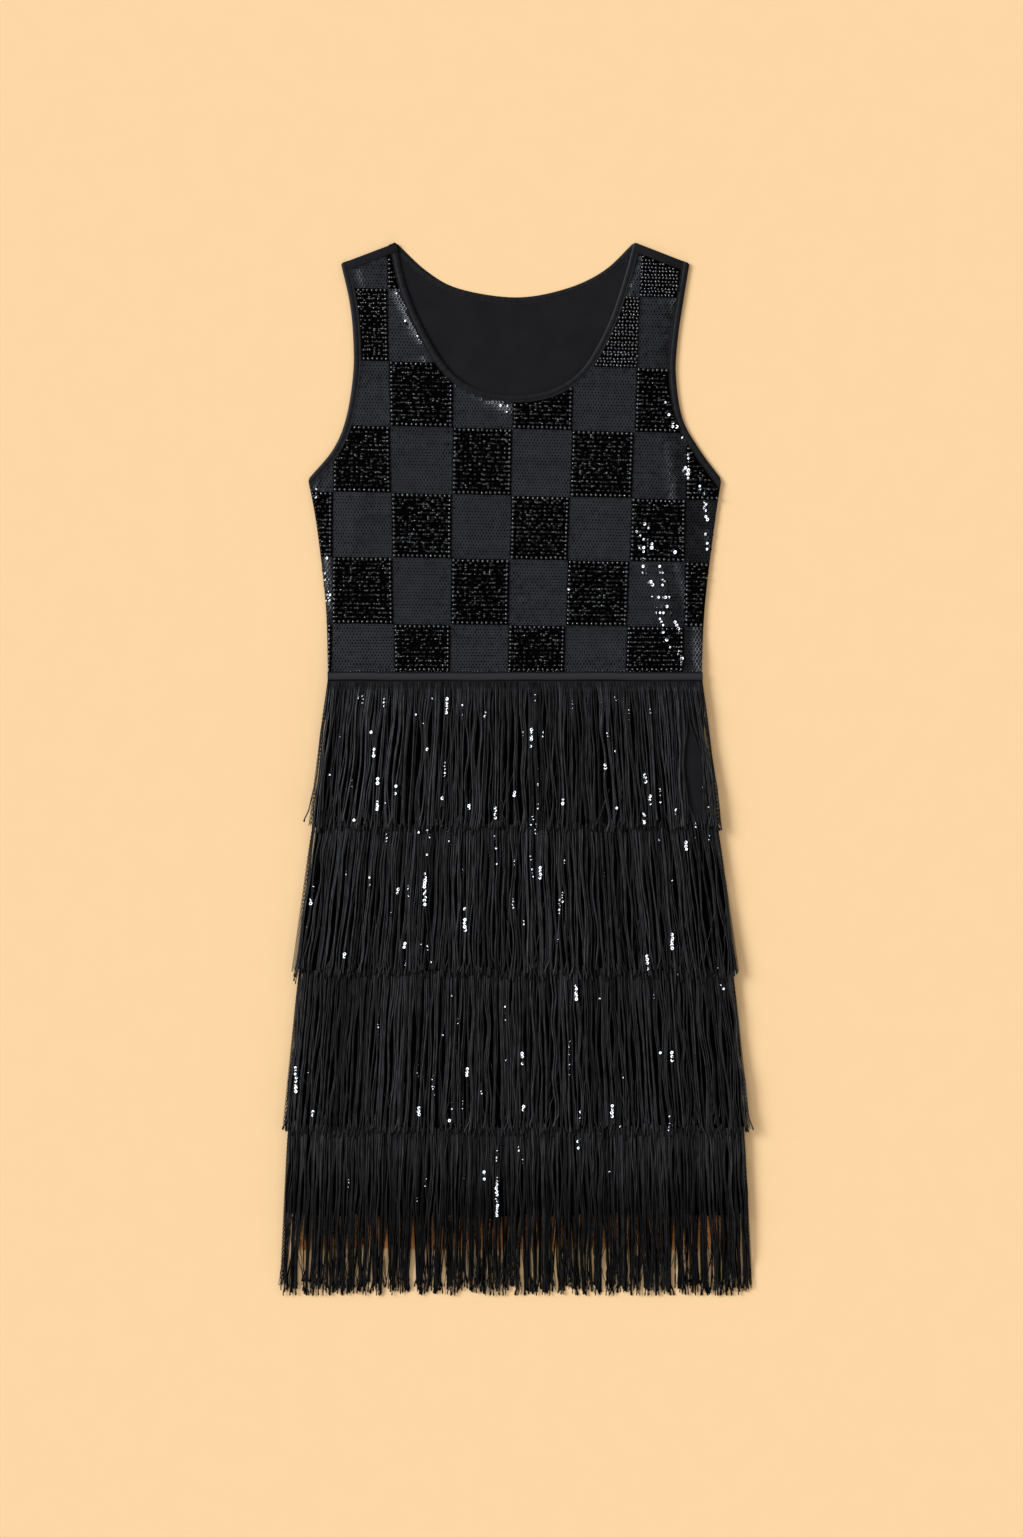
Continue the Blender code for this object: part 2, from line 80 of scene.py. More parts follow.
# Higher than every piece, in millimetres; the angle, in degrees, below which faces are one flat face; and the
# distance, in metres, below which points are one point.
ABOVE = 200.0
FLAT_ANGLE = 0.2
SAME_POINT = 1e-6

# Where the key light comes from, and where the camera stands, in millimetres.
LIGHT_FROM = Vector((-0.76, 0.31, 0.54)).normalized()
CAMERA_AT = Vector((-4.5, 1.0, 3635.0))


# --- Small helpers ---
def linear(colour: str) -> tuple[float, float, float, float]:
    """Turn an sRGB hex colour into linear values.

    Args:
        colour: Six hex digits after a #.

    Returns:
        Red, green, blue and an alpha of 1.
    """
    channels = [int(colour[i:i + 2], 16) / 255 for i in (1, 3, 5)]
    red, green, blue = (c / 12.92 if c <= 0.04045 else ((c + 0.055) / 1.055) ** 2.4 for c in channels)
    return red, green, blue, 1.0


def ease(share: float) -> float:
    """Smooth step from 0 to 1."""
    held = min(max(share, 0.0), 1.0)
    return held * held * (3.0 - 2.0 * held)


def mix(start: float, end: float, share: float) -> float:
    """Value at a share of the way from start to end."""
    return start + (end - start) * share


def read_rows(rows: Iterable, y: float, column: str) -> float:
    """Read a named column of a table at y, straight between the two rows around it.

    Args:
        rows: Rows with a field y, in any order.
        y: Where to read.
        column: Name of the field.

    Returns:
        The value, held at the ends of the table.
    """
    ordered = sorted(rows, key=lambda row: row.y)
    if y <= ordered[0].y:
        return getattr(ordered[0], column)
    for low, high in zip(ordered, ordered[1:]):
        if y <= high.y:
            return mix(getattr(low, column), getattr(high, column), (y - low.y) / (high.y - low.y))
    return getattr(ordered[-1], column)


def smooth_curve(points: list[Vector], steps: int = 8) -> list[Vector]:
    """Catmull-Rom curve through the points, ends included.

    Args:
        points: Points to pass through.
        steps: Points drawn between two of them.

    Returns:
        The curve's points.
    """
    padded = [2 * points[0] - points[1], *points, 2 * points[-1] - points[-2]]
    curve = []
    for a, b, c, d in zip(padded, padded[1:], padded[2:], padded[3:]):
        for step in range(steps):
            t = step / steps
            curve.append(0.5 * (2 * b + (c - a) * t + (2 * a - 5 * b + 4 * c - d) * t ** 2
                                + (3 * b - a - 3 * c + d) * t ** 3))
    curve.append(points[-1].copy())
    return curve


def resampled(points: list[Vector], pitch: float) -> list[Vector]:
    """Points at an even distance along a line.

    Args:
        points: Corners of the line.
        pitch: Wanted distance, which is rounded so that both ends are kept.

    Returns:
        The new points.
    """
    lengths = [0.0]
    for a, b in zip(points, points[1:]):
        lengths.append(lengths[-1] + (b - a).length)
    count = max(1, round(lengths[-1] / pitch))
    result = []
    segment = 0
    for i in range(count + 1):
        wanted = lengths[-1] * i / count
        while segment < len(points) - 2 and lengths[segment + 1] < wanted:
            segment += 1
        span = lengths[segment + 1] - lengths[segment]
        result.append(points[segment].lerp(points[segment + 1], (wanted - lengths[segment]) / span))
    return result


def moved_left(points: list[Vector], distance: float) -> list[Vector]:
    """The line moved to the left of its own direction, in plan.

    Args:
        points: Points of a smooth line.
        distance: How far; a negative one moves it to the right.

    Returns:
        The moved points.
    """
    moved = []
    for i, point in enumerate(points):
        along = (points[min(i + 1, len(points) - 1)] - points[max(i - 1, 0)]).normalized()
        moved.append(point + Vector((-along.y, along.x)) * distance)
    return moved


def alone(piece: Piece) -> None:
    """Deselect everything and make one piece active and selected."""
    for other in bpy.context.selected_objects:
        other.select_set(False)
    piece.select_set(True)
    bpy.context.view_layer.objects.active = piece


@contextmanager
def editing(piece: Piece) -> Iterator[None]:
    """Edit mode on one piece, with all of it selected at first."""
    alone(piece)
    bpy.ops.object.mode_set(mode="EDIT")
    bpy.ops.mesh.select_all(action="SELECT")
    try:
        yield
    finally:
        bpy.ops.object.mode_set(mode="OBJECT")


def shape_with(piece: Piece, kind: str, **settings: object) -> None:
    """Add a modifier with its settings and apply it."""
    alone(piece)
    modifier = piece.modifiers.new(kind.title(), kind)
    for name, value in settings.items():
        setattr(modifier, name, value)
    bpy.ops.object.modifier_apply(modifier=modifier.name)


def select_points(piece: Piece, wanted: Callable[[Vector], bool]) -> None:
    """In edit mode, select just the vertices whose place, in metres, passes the test."""
    bpy.ops.mesh.select_all(action="DESELECT")
    bpy.ops.object.mode_set(mode="OBJECT")
    for vertex in piece.data.vertices:
        vertex.select = bool(wanted(vertex.co))
    bpy.ops.object.mode_set(mode="EDIT")


def store(piece: Piece, name: str, values: list[float]) -> None:
    """Keep one number a vertex as a named attribute, which a finish can read."""
    attribute = piece.data.attributes.new(name, "FLOAT", "POINT")
    attribute.data.foreach_set("value", values)


def put_in_scene(name: str, data: bpy.types.ID) -> Piece:
    """A new object that shows this data."""
    piece = bpy.data.objects.new(name, data)
    bpy.context.scene.collection.objects.link(piece)
    return piece


def start_from(primitive: Callable, name: str, **settings: object) -> Piece:
    """Add a primitive under a plain name, with nothing else selected."""
    bpy.ops.object.select_all(action="DESELECT")
    primitive(**settings)
    piece = bpy.context.object
    piece.name = name
    return piece


def smooth(piece: Piece, sharpest: float) -> None:
    """Shade a piece smooth, but for the edges that turn by more than this angle in degrees."""
    alone(piece)
    bpy.ops.object.shade_smooth_by_angle(angle=math.radians(sharpest))


def copy_of_node(node: str, name: str) -> Piece:
    """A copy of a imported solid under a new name, its loose triangles merged and its flat faces whole again.

    Args:
        node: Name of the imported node.
        name: Name of the new piece.

    Returns:
        The new object.
    """
    piece = put_in_scene(name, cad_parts[node].data.copy())
    piece.data.materials.clear()
    with editing(piece):
        bpy.ops.mesh.remove_doubles(threshold=SAME_POINT)
        bpy.ops.mesh.dissolve_limited(angle_limit=math.radians(FLAT_ANGLE))
    return piece


def cut_into_cells(piece: Piece, pitch: float) -> None:
    """Bisect a piece with upright planes, so that folds can be laid into it.

    Args:
        piece: The mesh to cut.
        pitch: Distance between two planes.
    """
    low, high = (Vector(corner) for corner in (piece.bound_box[0], piece.bound_box[6]))
    with editing(piece):
        for axis, normal in enumerate((Vector((1.0, 0.0, 0.0)), Vector((0.0, 1.0, 0.0)))):
            for i in range(1, int((high[axis] - low[axis]) / (pitch * MM)) + 1):
                bpy.ops.mesh.select_all(action="SELECT")
                bpy.ops.mesh.bisect(plane_co=normal * (low[axis] + i * pitch * MM), plane_no=normal)
        bpy.ops.mesh.select_all(action="SELECT")
        bpy.ops.mesh.remove_doubles(threshold=SAME_POINT)


def remove(*pieces: Piece) -> None:
    """Delete helper objects."""
    for piece in pieces:
        bpy.data.objects.remove(piece, do_unlink=True)


def draw_line(curve: bpy.types.Curve, points: Route) -> bpy.types.Spline:
    """Draw one line with straight sides in a curve, through points of x, y, z and scale."""
    line = curve.splines.new("POLY")
    line.points.add(len(points) - 1)
    line.points.foreach_set("co", [value for x, y, z, _ in points for value in (x * MM, y * MM, z * MM, 1.0)])
    line.points.foreach_set("radius", [scale for *_, scale in points])
    return line


def sweep(name: str, routes: list[Route], profile: Iterable[Pair]) -> Piece:
    """Draw a closed profile along every route and join the results in one mesh.

    Args:
        name: Name of the piece.
        routes: One list a route, of x, y, z and the profile's scale there, in millimetres.
        profile: Across and up, in millimetres.

    Returns:
        The mesh, whose vertices follow the routes' points in order, one ring a point.
    """
    outline = [(across, up, 0.0, 1.0) for across, up in profile]
    section = bpy.data.curves.new(name + "_profile", "CURVE")
    section.dimensions = "2D"
    draw_line(section, outline).use_cyclic_u = True
    section_object = bpy.data.objects.new(section.name, section)

    path = bpy.data.curves.new(name, "CURVE")
    path.dimensions = "3D"
    path.twist_mode = "Z_UP"
    path.bevel_mode = "OBJECT"
    path.bevel_object = section_object
    for route in routes:
        draw_line(path, route)
    piece = put_in_scene(name, path)
    alone(piece)
    bpy.ops.object.convert(target="MESH")
    piece.data.materials.clear()
    with editing(piece):
        bpy.ops.mesh.select_all(action="DESELECT")
        bpy.ops.mesh.select_non_manifold()
        bpy.ops.mesh.fill_holes(sides=len(outline))
        bpy.ops.mesh.select_all(action="SELECT")
        bpy.ops.mesh.normals_make_consistent(inside=False)
    remove(section_object)
    return piece


@dataclass
class Place:
    """Where one small thing is sewn on: its point in millimetres, the way its top faces, spin, size, tone."""

    at: Vector
    up: Vector
    spin: float = 0.0
    size: float = 1.0
    tone: float = 0.5

    def turn(self) -> Euler:
        """Its turn from the master's own pose: the master's X stays across the dress, and is then spun."""
        across = (Vector((1.0, 0.0, 0.0)) - self.up * self.up.x).normalized()
        upright = Matrix((across, self.up.cross(across), self.up)).transposed()
        return (upright.to_quaternion() @ Quaternion(UP, self.spin)).to_euler()


def scatter(name: str, master: Piece, places: list[Place]) -> Piece:
    """Set a copy of a small thing at every place, as one joined mesh, by Geometry Nodes.

    Args:
        name: Name of the piece.
        master: The thing, modelled at the origin, which is kept.
        places: Where the copies go.

    Returns:
        The joined mesh, with the attribute tone.
    """
    data = bpy.data.meshes.new(name)
    data.from_pydata([place.at * MM for place in places], [], [])
    piece = put_in_scene(name, data)
    turns = piece.data.attributes.new("turn", "FLOAT_VECTOR", "POINT")
    turns.data.foreach_set("vector", [value for place in places for value in place.turn()])
    store(piece, "size", [place.size for place in places])
    store(piece, "tone", [place.tone for place in places])

    tree = bpy.data.node_groups.new(name + "_scatter", "GeometryNodeTree")
    tree.interface.new_socket("Geometry", in_out="INPUT", socket_type="NodeSocketGeometry")
    tree.interface.new_socket("Geometry", in_out="OUTPUT", socket_type="NodeSocketGeometry")
    points = add_node(tree, "NodeGroupInput")
    thing = add_node(tree, "GeometryNodeObjectInfo", inputs={"Object": master})
    turn = add_node(tree, "GeometryNodeInputNamedAttribute", {"data_type": "FLOAT_VECTOR"}, {"Name": "turn"})
    size = add_node(tree, "GeometryNodeInputNamedAttribute", {"data_type": "FLOAT"}, {"Name": "size"})
    rotation = add_node(tree, "FunctionNodeEulerToRotation", inputs={"Euler": turn.outputs["Attribute"]})
    copies = add_node(tree, "GeometryNodeInstanceOnPoints", inputs={
        "Points": points.outputs[0],
        "Instance": thing.outputs["Geometry"],
        "Rotation": rotation.outputs[0],
        "Scale": size.outputs["Attribute"],
    })
    joined = add_node(tree, "GeometryNodeRealizeInstances", inputs={"Geometry": copies.outputs[0]})
    add_node(tree, "NodeGroupOutput", inputs={"Geometry": joined.outputs[0]})
    shape_with(piece, "NODES", node_group=tree)
    piece.data.materials.clear()
    return piece


class Surface:
    """Finished pieces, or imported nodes, as something to lay things on."""

    def __init__(self, *pieces: Piece) -> None:
        """Read the meshes of the pieces."""
        depsgraph = bpy.context.evaluated_depsgraph_get()
        self.trees = [BVHTree.FromObject(piece, depsgraph) for piece in pieces]

    def top(self, x: float, y: float) -> tuple[Vector, Vector] | None:
        """Drop a plumb line.

        Args:
            x, y: Place in millimetres.

        Returns:
            The highest point there, in millimetres, and the way it faces, or None beside the pieces.
        """
        start = Vector((x * MM, y * MM, ABOVE * MM))
        found = [tree.ray_cast(start, DOWN) for tree in self.trees]
        hits = [(point / MM, normal) for point, normal, _, _ in found if point is not None]
        return max(hits, key=lambda hit: hit[0].z) if hits else None

    def holds(self, x: float, y: float, margin: float) -> bool:
        """Whether the cloth reaches at least this far on all four sides of a place."""
        around = ((margin, 0.0), (-margin, 0.0), (0.0, margin), (0.0, -margin))
        return all(self.top(x + dx, y + dy) is not None for dx, dy in around)


# --- Finishes ---
def add_node(tree: Tree, kind: str, settings: dict | None = None,
             inputs: dict | None = None) -> bpy.types.Node:
    """Add a node, set its fields and sockets, and link each socket that is given an output.

    Args:
        tree: The node tree.
        kind: The node's type.
        settings: Fields of the node.
        inputs: Values or outputs by the name or the number of the input.

    Returns:
        The node.
    """
    node = tree.nodes.new(kind)
    for name, value in (settings or {}).items():
        setattr(node, name, value)
    for key, value in (inputs or {}).items():
        if isinstance(value, bpy.types.NodeSocket):
            tree.links.new(value, node.inputs[key])
        else:
            node.inputs[key].default_value = value
    return node


def wave_scale(period: float) -> float:
    """Scale of a Wave texture whose bands are this far apart, in millimetres, on metre coordinates."""
    return 2 * math.pi / (20 * period * MM)


def grain_scale(size: float) -> float:
    """Scale of a Noise or Voronoi texture with grains this wide, in millimetres, on metre coordinates."""
    return 1 / (size * MM)


@dataclass(frozen=True)
class Finish:
    """A finish: its real name, its sRGB colours, how the Principled shader is set and its relief's depth.

    The second colour is what its pattern turns the first one into.
    """

    title: str
    colour: str
    roughness: float
    second: str = "#000000"
    ior: float = 1.5
    specular: float = 0.5
    depth: float = 0.1

    def material(self) -> bpy.types.Material:
        """The finish as a material, made once.

        Returns:
            The material.
        """
        known = bpy.data.materials.get(self.title)
        if known:
            return known
        material = bpy.data.materials.new(self.title)
        material.use_nodes = True
        tree = material.node_tree
        inputs = tree.nodes["Principled BSDF"].inputs
        inputs["Base Color"].default_value = linear(self.colour)
        inputs["Roughness"].default_value = self.roughness
        inputs["IOR"].default_value = self.ior
        inputs["Specular IOR Level"].default_value = self.specular
        found = self.pattern(tree)
        if "Height" in found:
            bump = add_node(tree, "ShaderNodeBump", inputs={
                "Height": found.pop("Height"), "Distance": self.depth * MM, "Strength": 1.0})
            found["Normal"] = bump.outputs[0]
        for name, socket in found.items():
            tree.links.new(socket, inputs[name])
        return material

    def pattern(self, tree: Tree) -> dict[str, Socket]:
        """What drives the shader's inputs, and the Height of the relief; a plain finish has no pattern."""
        return {}

    def tones(self, tree: Tree, factor: Socket, low: float = 0.3, high: float = 0.7) -> Socket:
        """The first colour where a factor is low, the second where it is high, and a blend in between."""
        share = add_node(tree, "ShaderNodeMapRange", inputs={
            "Value": factor, "From Min": low, "From Max": high})
        blend = add_node(tree, "ShaderNodeMix", {"data_type": "RGBA"}, {
            0: share.outputs[0], 6: linear(self.colour), 7: linear(self.second)})
        return blend.outputs[2]


@dataclass(frozen=True)
class MeshCloth(Finish):
    """Knitted nylon mesh, the ground of the beadwork: dull threads with a small dark hole in each cell.

    Its cells are 0.9 mm wide and are drawn at 1.6 mm, so that they show.
    """

    depth: float = 0.25
    cell: float = 1.6

    def pattern(self, tree: Tree) -> dict[str, Socket]:
        """A net of threads with dark holes."""
        place = add_node(tree, "ShaderNodeTexCoord").outputs["Object"]
        holes = add_node(tree, "ShaderNodeTexVoronoi", inputs={
            "Vector": place, "Scale": grain_scale(self.cell), "Randomness": 0.35}).outputs["Distance"]
        return {"Base Color": self.tones(tree, holes, low=0.45, high=0.15), "Height": holes}


@dataclass(frozen=True)
class JerseyCloth(Finish):
    """Plain polyester jersey: fine wales that run up the garment, soft and nearly matt.

    The wales are 0.7 mm apart and are drawn at 1.4 mm, so that they show.
    """

    depth: float = 0.12
    wale: float = 1.4
    course_share: float = 1.3
    patch: float = 40.0

    def pattern(self, tree: Tree) -> dict[str, Socket]:
        """Loops where the wales meet the courses, and soft patches of painted sheen in its colour."""
        place = add_node(tree, "ShaderNodeTexCoord").outputs["Object"]
        wales, courses = (add_node(tree, "ShaderNodeTexWave", {"bands_direction": way}, {
            "Vector": place, "Scale": wave_scale(period), "Distortion": 0.6, "Detail": 1.0}).outputs["Fac"]
            for way, period in (("X", self.wale), ("Y", self.wale * self.course_share)))
        loops = add_node(tree, "ShaderNodeMath", {"operation": "MULTIPLY"}, {0: wales, 1: courses})
        patches = add_node(tree, "ShaderNodeTexNoise", inputs={
            "Vector": place, "Scale": grain_scale(self.patch), "Detail": 3.0})
        return {"Base Color": self.tones(tree, patches.outputs["Fac"]), "Height": loops.outputs[0]}


@dataclass(frozen=True)
class SheerCloth(Finish):
    """Sheer georgette lining: light comes through its cells, browned by the dye, most of all by its raw hem.

    The second colour is what the dye lets through, and thinnest and thickest are how much a cell covers.
    """

    cell: float = 1.5
    thinnest: float = -0.11
    thickest: float = 0.59
    hem: float = -477.6
    worn: float = 42.0

    def pattern(self, tree: Tree) -> dict[str, Socket]:
        """Open cells that let light through, more of them towards the hem."""
        place = add_node(tree, "ShaderNodeTexCoord").outputs["Object"]
        cells = add_node(tree, "ShaderNodeTexNoise", inputs={
            "Vector": place, "Scale": grain_scale(self.cell), "Detail": 1.0})
        closed = add_node(tree, "ShaderNodeMapRange", inputs={
            "Value": cells.outputs["Fac"], "From Min": 0.4, "From Max": 0.62, "To Min": self.thinnest,
            "To Max": self.thickest})
        split = add_node(tree, "ShaderNodeSeparateXYZ", inputs={0: place})
        worn = add_node(tree, "ShaderNodeMapRange", inputs={
            "Value": split.outputs["Y"], "From Min": self.hem * MM, "From Max": (self.hem + self.worn) * MM,
            "To Min": 0.3, "To Max": 1.0})
        cover = add_node(tree, "ShaderNodeMath", {"operation": "MULTIPLY", "use_clamp": True}, {
            0: closed.outputs[0], 1: worn.outputs[0]})
        clear = add_node(tree, "ShaderNodeBsdfTransparent", inputs={"Color": linear(self.second)})
        both = add_node(tree, "ShaderNodeMixShader", inputs={
            0: cover.outputs[0], 1: clear.outputs[0], 2: tree.nodes["Principled BSDF"].outputs[0]})
        tree.links.new(both.outputs[0], tree.nodes["Material Output"].inputs["Surface"])
        return {}


@dataclass(frozen=True)
class SatinBand(Finish):
    """Folded satin binding: a smooth, dull band with a fine twill and puckers along its seam."""

    pucker: float = 5.0
    twill: float = 1.2

    def pattern(self, tree: Tree) -> dict[str, Socket]:
        """Twill lines, and puckers that follow the band by its attribute along; the puckers also lighten its
        colour as a painted sheen.
        """
        place = add_node(tree, "ShaderNodeTexCoord").outputs["Object"]
        twill = add_node(tree, "ShaderNodeTexWave", {"bands_direction": "DIAGONAL"}, {
            "Vector": place, "Scale": wave_scale(self.twill), "Distortion": 0.3})
        weave = add_node(tree, "ShaderNodeMath", {"operation": "MULTIPLY"}, {
            0: twill.outputs["Fac"], 1: 0.25})
        along = add_node(tree, "ShaderNodeAttribute", {"attribute_name": "along"})
        line = add_node(tree, "ShaderNodeCombineXYZ", inputs={"X": along.outputs["Fac"]})
        folds = add_node(tree, "ShaderNodeTexNoise", inputs={
            "Vector": line.outputs[0], "Scale": grain_scale(self.pucker), "Detail": 2.0}).outputs["Fac"]
        height = add_node(tree, "ShaderNodeMath", {"operation": "MULTIPLY_ADD"}, {
            0: folds, 1: 2.5, 2: weave.outputs[0]})
        # The pucker noise also sets the colour: a painted sheen where the satin puckers.
        return {"Base Color": self.tones(tree, folds, low=0.35, high=0.65), "Height": height.outputs[0]}


@dataclass(frozen=True)
class Rayon(Finish):
    """Rayon chainette, the cord of the fringe: a silky knitted chain, each strand of its own black, with
    painted shade and painted sheen in its tone.
    """

    depth: float = 0.05
    stitch: float = 2.6
    shine: float = 1.6
    drawn_out: float = 0.12
    shift: float = 90.0

    def pattern(self, tree: Tree) -> dict[str, Socket]:
        """A tone for each strand, which holds painted shade, a painted sheen drawn out along it, and the
        stitches of its own chain.
        """
        tone = add_node(tree, "ShaderNodeAttribute", {"attribute_name": "tone"}).outputs["Fac"]
        place = add_node(tree, "ShaderNodeTexCoord").outputs["Object"]
        shift = add_node(tree, "ShaderNodeMath", {"operation": "MULTIPLY"}, {0: tone, 1: self.shift})
        chain = add_node(tree, "ShaderNodeTexWave", {"bands_direction": "Y"}, {
            "Vector": place, "Scale": wave_scale(self.stitch), "Distortion": 3.0, "Detail": 1.0,
            "Phase Offset": shift.outputs[0]})
        # Noise stretched along the strands paints drawn-out highlights into their colour and gloss.
        drawn = add_node(tree, "ShaderNodeMapping", inputs={
            "Vector": place, "Scale": (1.0, self.drawn_out, 1.0)})
        shine = add_node(tree, "ShaderNodeTexNoise", inputs={
            "Vector": drawn.outputs[0], "Scale": grain_scale(self.shine), "Detail": 2.0})
        patch = add_node(tree, "ShaderNodeMapRange", inputs={
            "Value": shine.outputs["Fac"], "From Min": 0.35, "From Max": 0.62, "To Min": 0.45})
        shade = add_node(tree, "ShaderNodeMath", {"operation": "MULTIPLY"}, {
            0: tone, 1: patch.outputs[0]}).outputs[0]
        gloss = add_node(tree, "ShaderNodeMath", {"operation": "MULTIPLY"}, {0: shade, 1: self.specular})
        return {"Base Color": self.tones(tree, shade, low=0.0, high=1.0),
                "Specular IOR Level": gloss.outputs[0], "Height": chain.outputs["Fac"]}


@dataclass(frozen=True)
class Sequin(Finish):
    """Moulded PET sequin: a thin cupped disc with a dark thread hole at its centre."""

    hole: str = "#020202"
    hole_edge: float = 0.56
    hole_blur: float = 0.1

    def pattern(self, tree: Tree) -> dict[str, Socket]:
        """A tone for each disc, in which the matt ones carry a painted shade, and the hole by its attribute
        centre.
        """
        tone = add_node(tree, "ShaderNodeAttribute", {"attribute_name": "tone"})
        disc = self.tones(tree, tone.outputs["Fac"], low=0.0, high=1.0)
        centre = add_node(tree, "ShaderNodeAttribute", {"attribute_name": "centre"})
        hole = add_node(tree, "ShaderNodeMapRange", inputs={
            "Value": centre.outputs["Fac"], "From Min": self.hole_edge,
            "From Max": self.hole_edge + self.hole_blur}).outputs[0]
        colour = add_node(tree, "ShaderNodeMix", {"data_type": "RGBA"}, {
            0: hole, 6: disc, 7: linear(self.hole)})
        gloss = add_node(tree, "ShaderNodeMapRange", inputs={"Value": hole, "To Min": 0.5, "To Max": 0.0})
        return {"Base Color": colour.outputs[2], "Specular IOR Level": gloss.outputs[0]}


@dataclass(frozen=True)
class JetGlass(Finish):
    """Jet glass seed bead with a fired metal lustre, which mirrors more than bare glass; some are dull."""

    dullest: float = 0.5
    worn: float = 0.06
    lustre: float = 0.9

    def pattern(self, tree: Tree) -> dict[str, Socket]:
        """Polish and lustre by the attribute tone, which differs from bead to bead."""
        tone = add_node(tree, "ShaderNodeAttribute", {"attribute_name": "tone"}).outputs["Fac"]
        ranges = (("Roughness", self.dullest, self.roughness), ("Specular IOR Level", self.worn, self.lustre))
        return {name: add_node(tree, "ShaderNodeMapRange", inputs={
            "Value": tone, "To Min": dull, "To Max": bright}).outputs[0] for name, dull, bright in ranges}


@dataclass(frozen=True)
class Paper(Finish):
    """Matt seamless paper, with a very faint mottle."""

    pulp: float = 30.0

    def pattern(self, tree: Tree) -> dict[str, Socket]:
        """The mottle of the pulp."""
        place = add_node(tree, "ShaderNodeTexCoord").outputs["Object"]
        pulp = add_node(tree, "ShaderNodeTexNoise", inputs={
            "Vector": place, "Scale": grain_scale(self.pulp), "Detail": 6.0})
        return {"Base Color": self.tones(tree, pulp.outputs["Fac"])}


class Finishes(Enum):
    """Every finish of the dress and of its ground."""

    # The threads of a cloth shadow one another, so its gloss is less than that of a smooth face.
    SLATE_MESH = MeshCloth("slate_nylon_mesh", "#1b1c20", 0.75, second="#08080a", specular=0.15)
    BLACK_MESH = MeshCloth("black_nylon_mesh", "#030303", 0.8, second="#010101", specular=0.02)
    JERSEY = JerseyCloth("black_polyester_jersey", "#171719", 0.8, second="#1c1c1f", specular=0.12)
    SHEER = SheerCloth("sheer_nylon_georgette", "#120d0a", 0.8, second="#fdf0e2", specular=0.05)
    SATIN = SatinBand("black_satin_binding", "#141416", 0.55, second="#1d1d20", specular=0.22)
    GROSGRAIN = SatinBand("black_grosgrain_ribbon", "#1e1e20", 0.6, second="#343437", specular=0.25)
    THREAD = Finish("black_polyester_thread", "#232326", 0.45)
    RAYON = Rayon("black_rayon_chainette", "#020202", 0.4, second="#3b3b3d")
    MATT_SEQUIN = Sequin("slate_matt_sequin", "#16171b", 0.36, second="#37383d", hole_edge=0.42)
    CUP_SEQUIN = Sequin("jet_cup_sequin", "#0b0b0d", 0.14, second="#1c1c20", ior=2.2, hole_edge=0.48)
    BEAD = JetGlass("lustred_jet_bead", "#020202", 0.26, ior=2.5)
    GROUND = Paper("peach_paper", "#fed7a3", 0.95, second="#ffd9a6")


def fit(piece: Piece, slot: str, *finishes: Finishes, nodes: tuple[str, ...] = ()) -> Piece:
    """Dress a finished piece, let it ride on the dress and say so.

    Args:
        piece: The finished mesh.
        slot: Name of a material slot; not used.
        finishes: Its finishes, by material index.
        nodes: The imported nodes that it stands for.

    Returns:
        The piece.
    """
    for finish in finishes:
        piece.data.materials.append(finish.value.material())
    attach(piece, BODY)
    if nodes:
        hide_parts(*nodes)
    LOG.info("%s: %d faces", piece.name, len(piece.data.polygons))
    return piece


# --- The cut ---
def rows_of(kind: type, *rows: tuple) -> tuple:
    """One object of a class for each row of its values."""
    return tuple(kind(*row) for row in rows)


@dataclass(frozen=True)
class Edge:
    """Where the right and the left edge of an outline are at one height of the garment."""

    y: float
    right: float
    left: float

    def at(self, side: str) -> Vector:
        """The edge's point on one side."""
        return Vector((getattr(self, side), self.y))


HALF_LENGTH = 527.5
WAIST = 93.0
WAIST_TAPE = 9.0
BINDING_WIDTH = 7.0
SEAM_GAP = 0.3

# How far the corner between two cut edges is rounded off.
CORNER_CUT = 0.9

SIDE_SEAM = rows_of(
    Edge, (93, -188, 185.5), (164, -190.3, 189), (243.5, -199.4, 198.5), (290.5, -208, 205.5))
ARMHOLE = rows_of(
    Edge, (290.5, -208, 205.5), (320.5, -183, 183.5), (352, -170, 166.5), (396, -163, 160),
    (433.5, -163, 162.3), (468, -166.6, 167.4), (506.5, -175.2, 173.7))
FRONT_NECK = rows_of(
    Edge, (HALF_LENGTH, -120, 117.8), (483.5, -110, 105.5), (440, -92, 89.5), (400.5, -67, 66),
    (380.5, -38, 36), (374.5, 0, 0))
BACK_NECK = rows_of(
    Edge, (HALF_LENGTH, -120, 117.8), (499.5, -90, 88), (481.5, -57, 50), (472.8, 0, 0))
SLIP_SIDE = rows_of(
    Edge, (WAIST, -188, 186), (20, -195.5, 193.5), (-56.5, -203, 201), (-130, -210.5, 209.5),
    (-205.5, -217, 217), (-285, -223.5, 223.5), (-362.5, -228, 228), (-420, -230, 229.5), (-480, -231, 230))
def side_line(rows: tuple[Edge, ...], side: str) -> list[Vector]:
    """Smooth line through one side's column of a table, from its first row to its last."""
    return smooth_curve([row.at(side) for row in rows])


def neck_line(rows: tuple[Edge, ...]) -> list[Vector]:
    """Smooth line from the right shoulder down round the neck and up to the left shoulder."""
    return smooth_curve([row.at("right") for row in rows] + [row.at("left") for row in rows[-2::-1]])


def square_to(along: Vector, side: Vector) -> Vector:
    """The unit direction at right angles to another, to the side that a third one points to."""
    normal = along.orthogonal()
    return normal if normal.dot(side) > 0 else -normal


def shoulder(side: str) -> tuple[Vector, Vector]:
    """The outer and the inner end of a shoulder seam."""
    return ARMHOLE[-1].at(side), FRONT_NECK[0].at(side)


@dataclass(frozen=True)
class Border:
    """A line of the checkerboard, by its place at its two ends."""

    start: float
    end: float


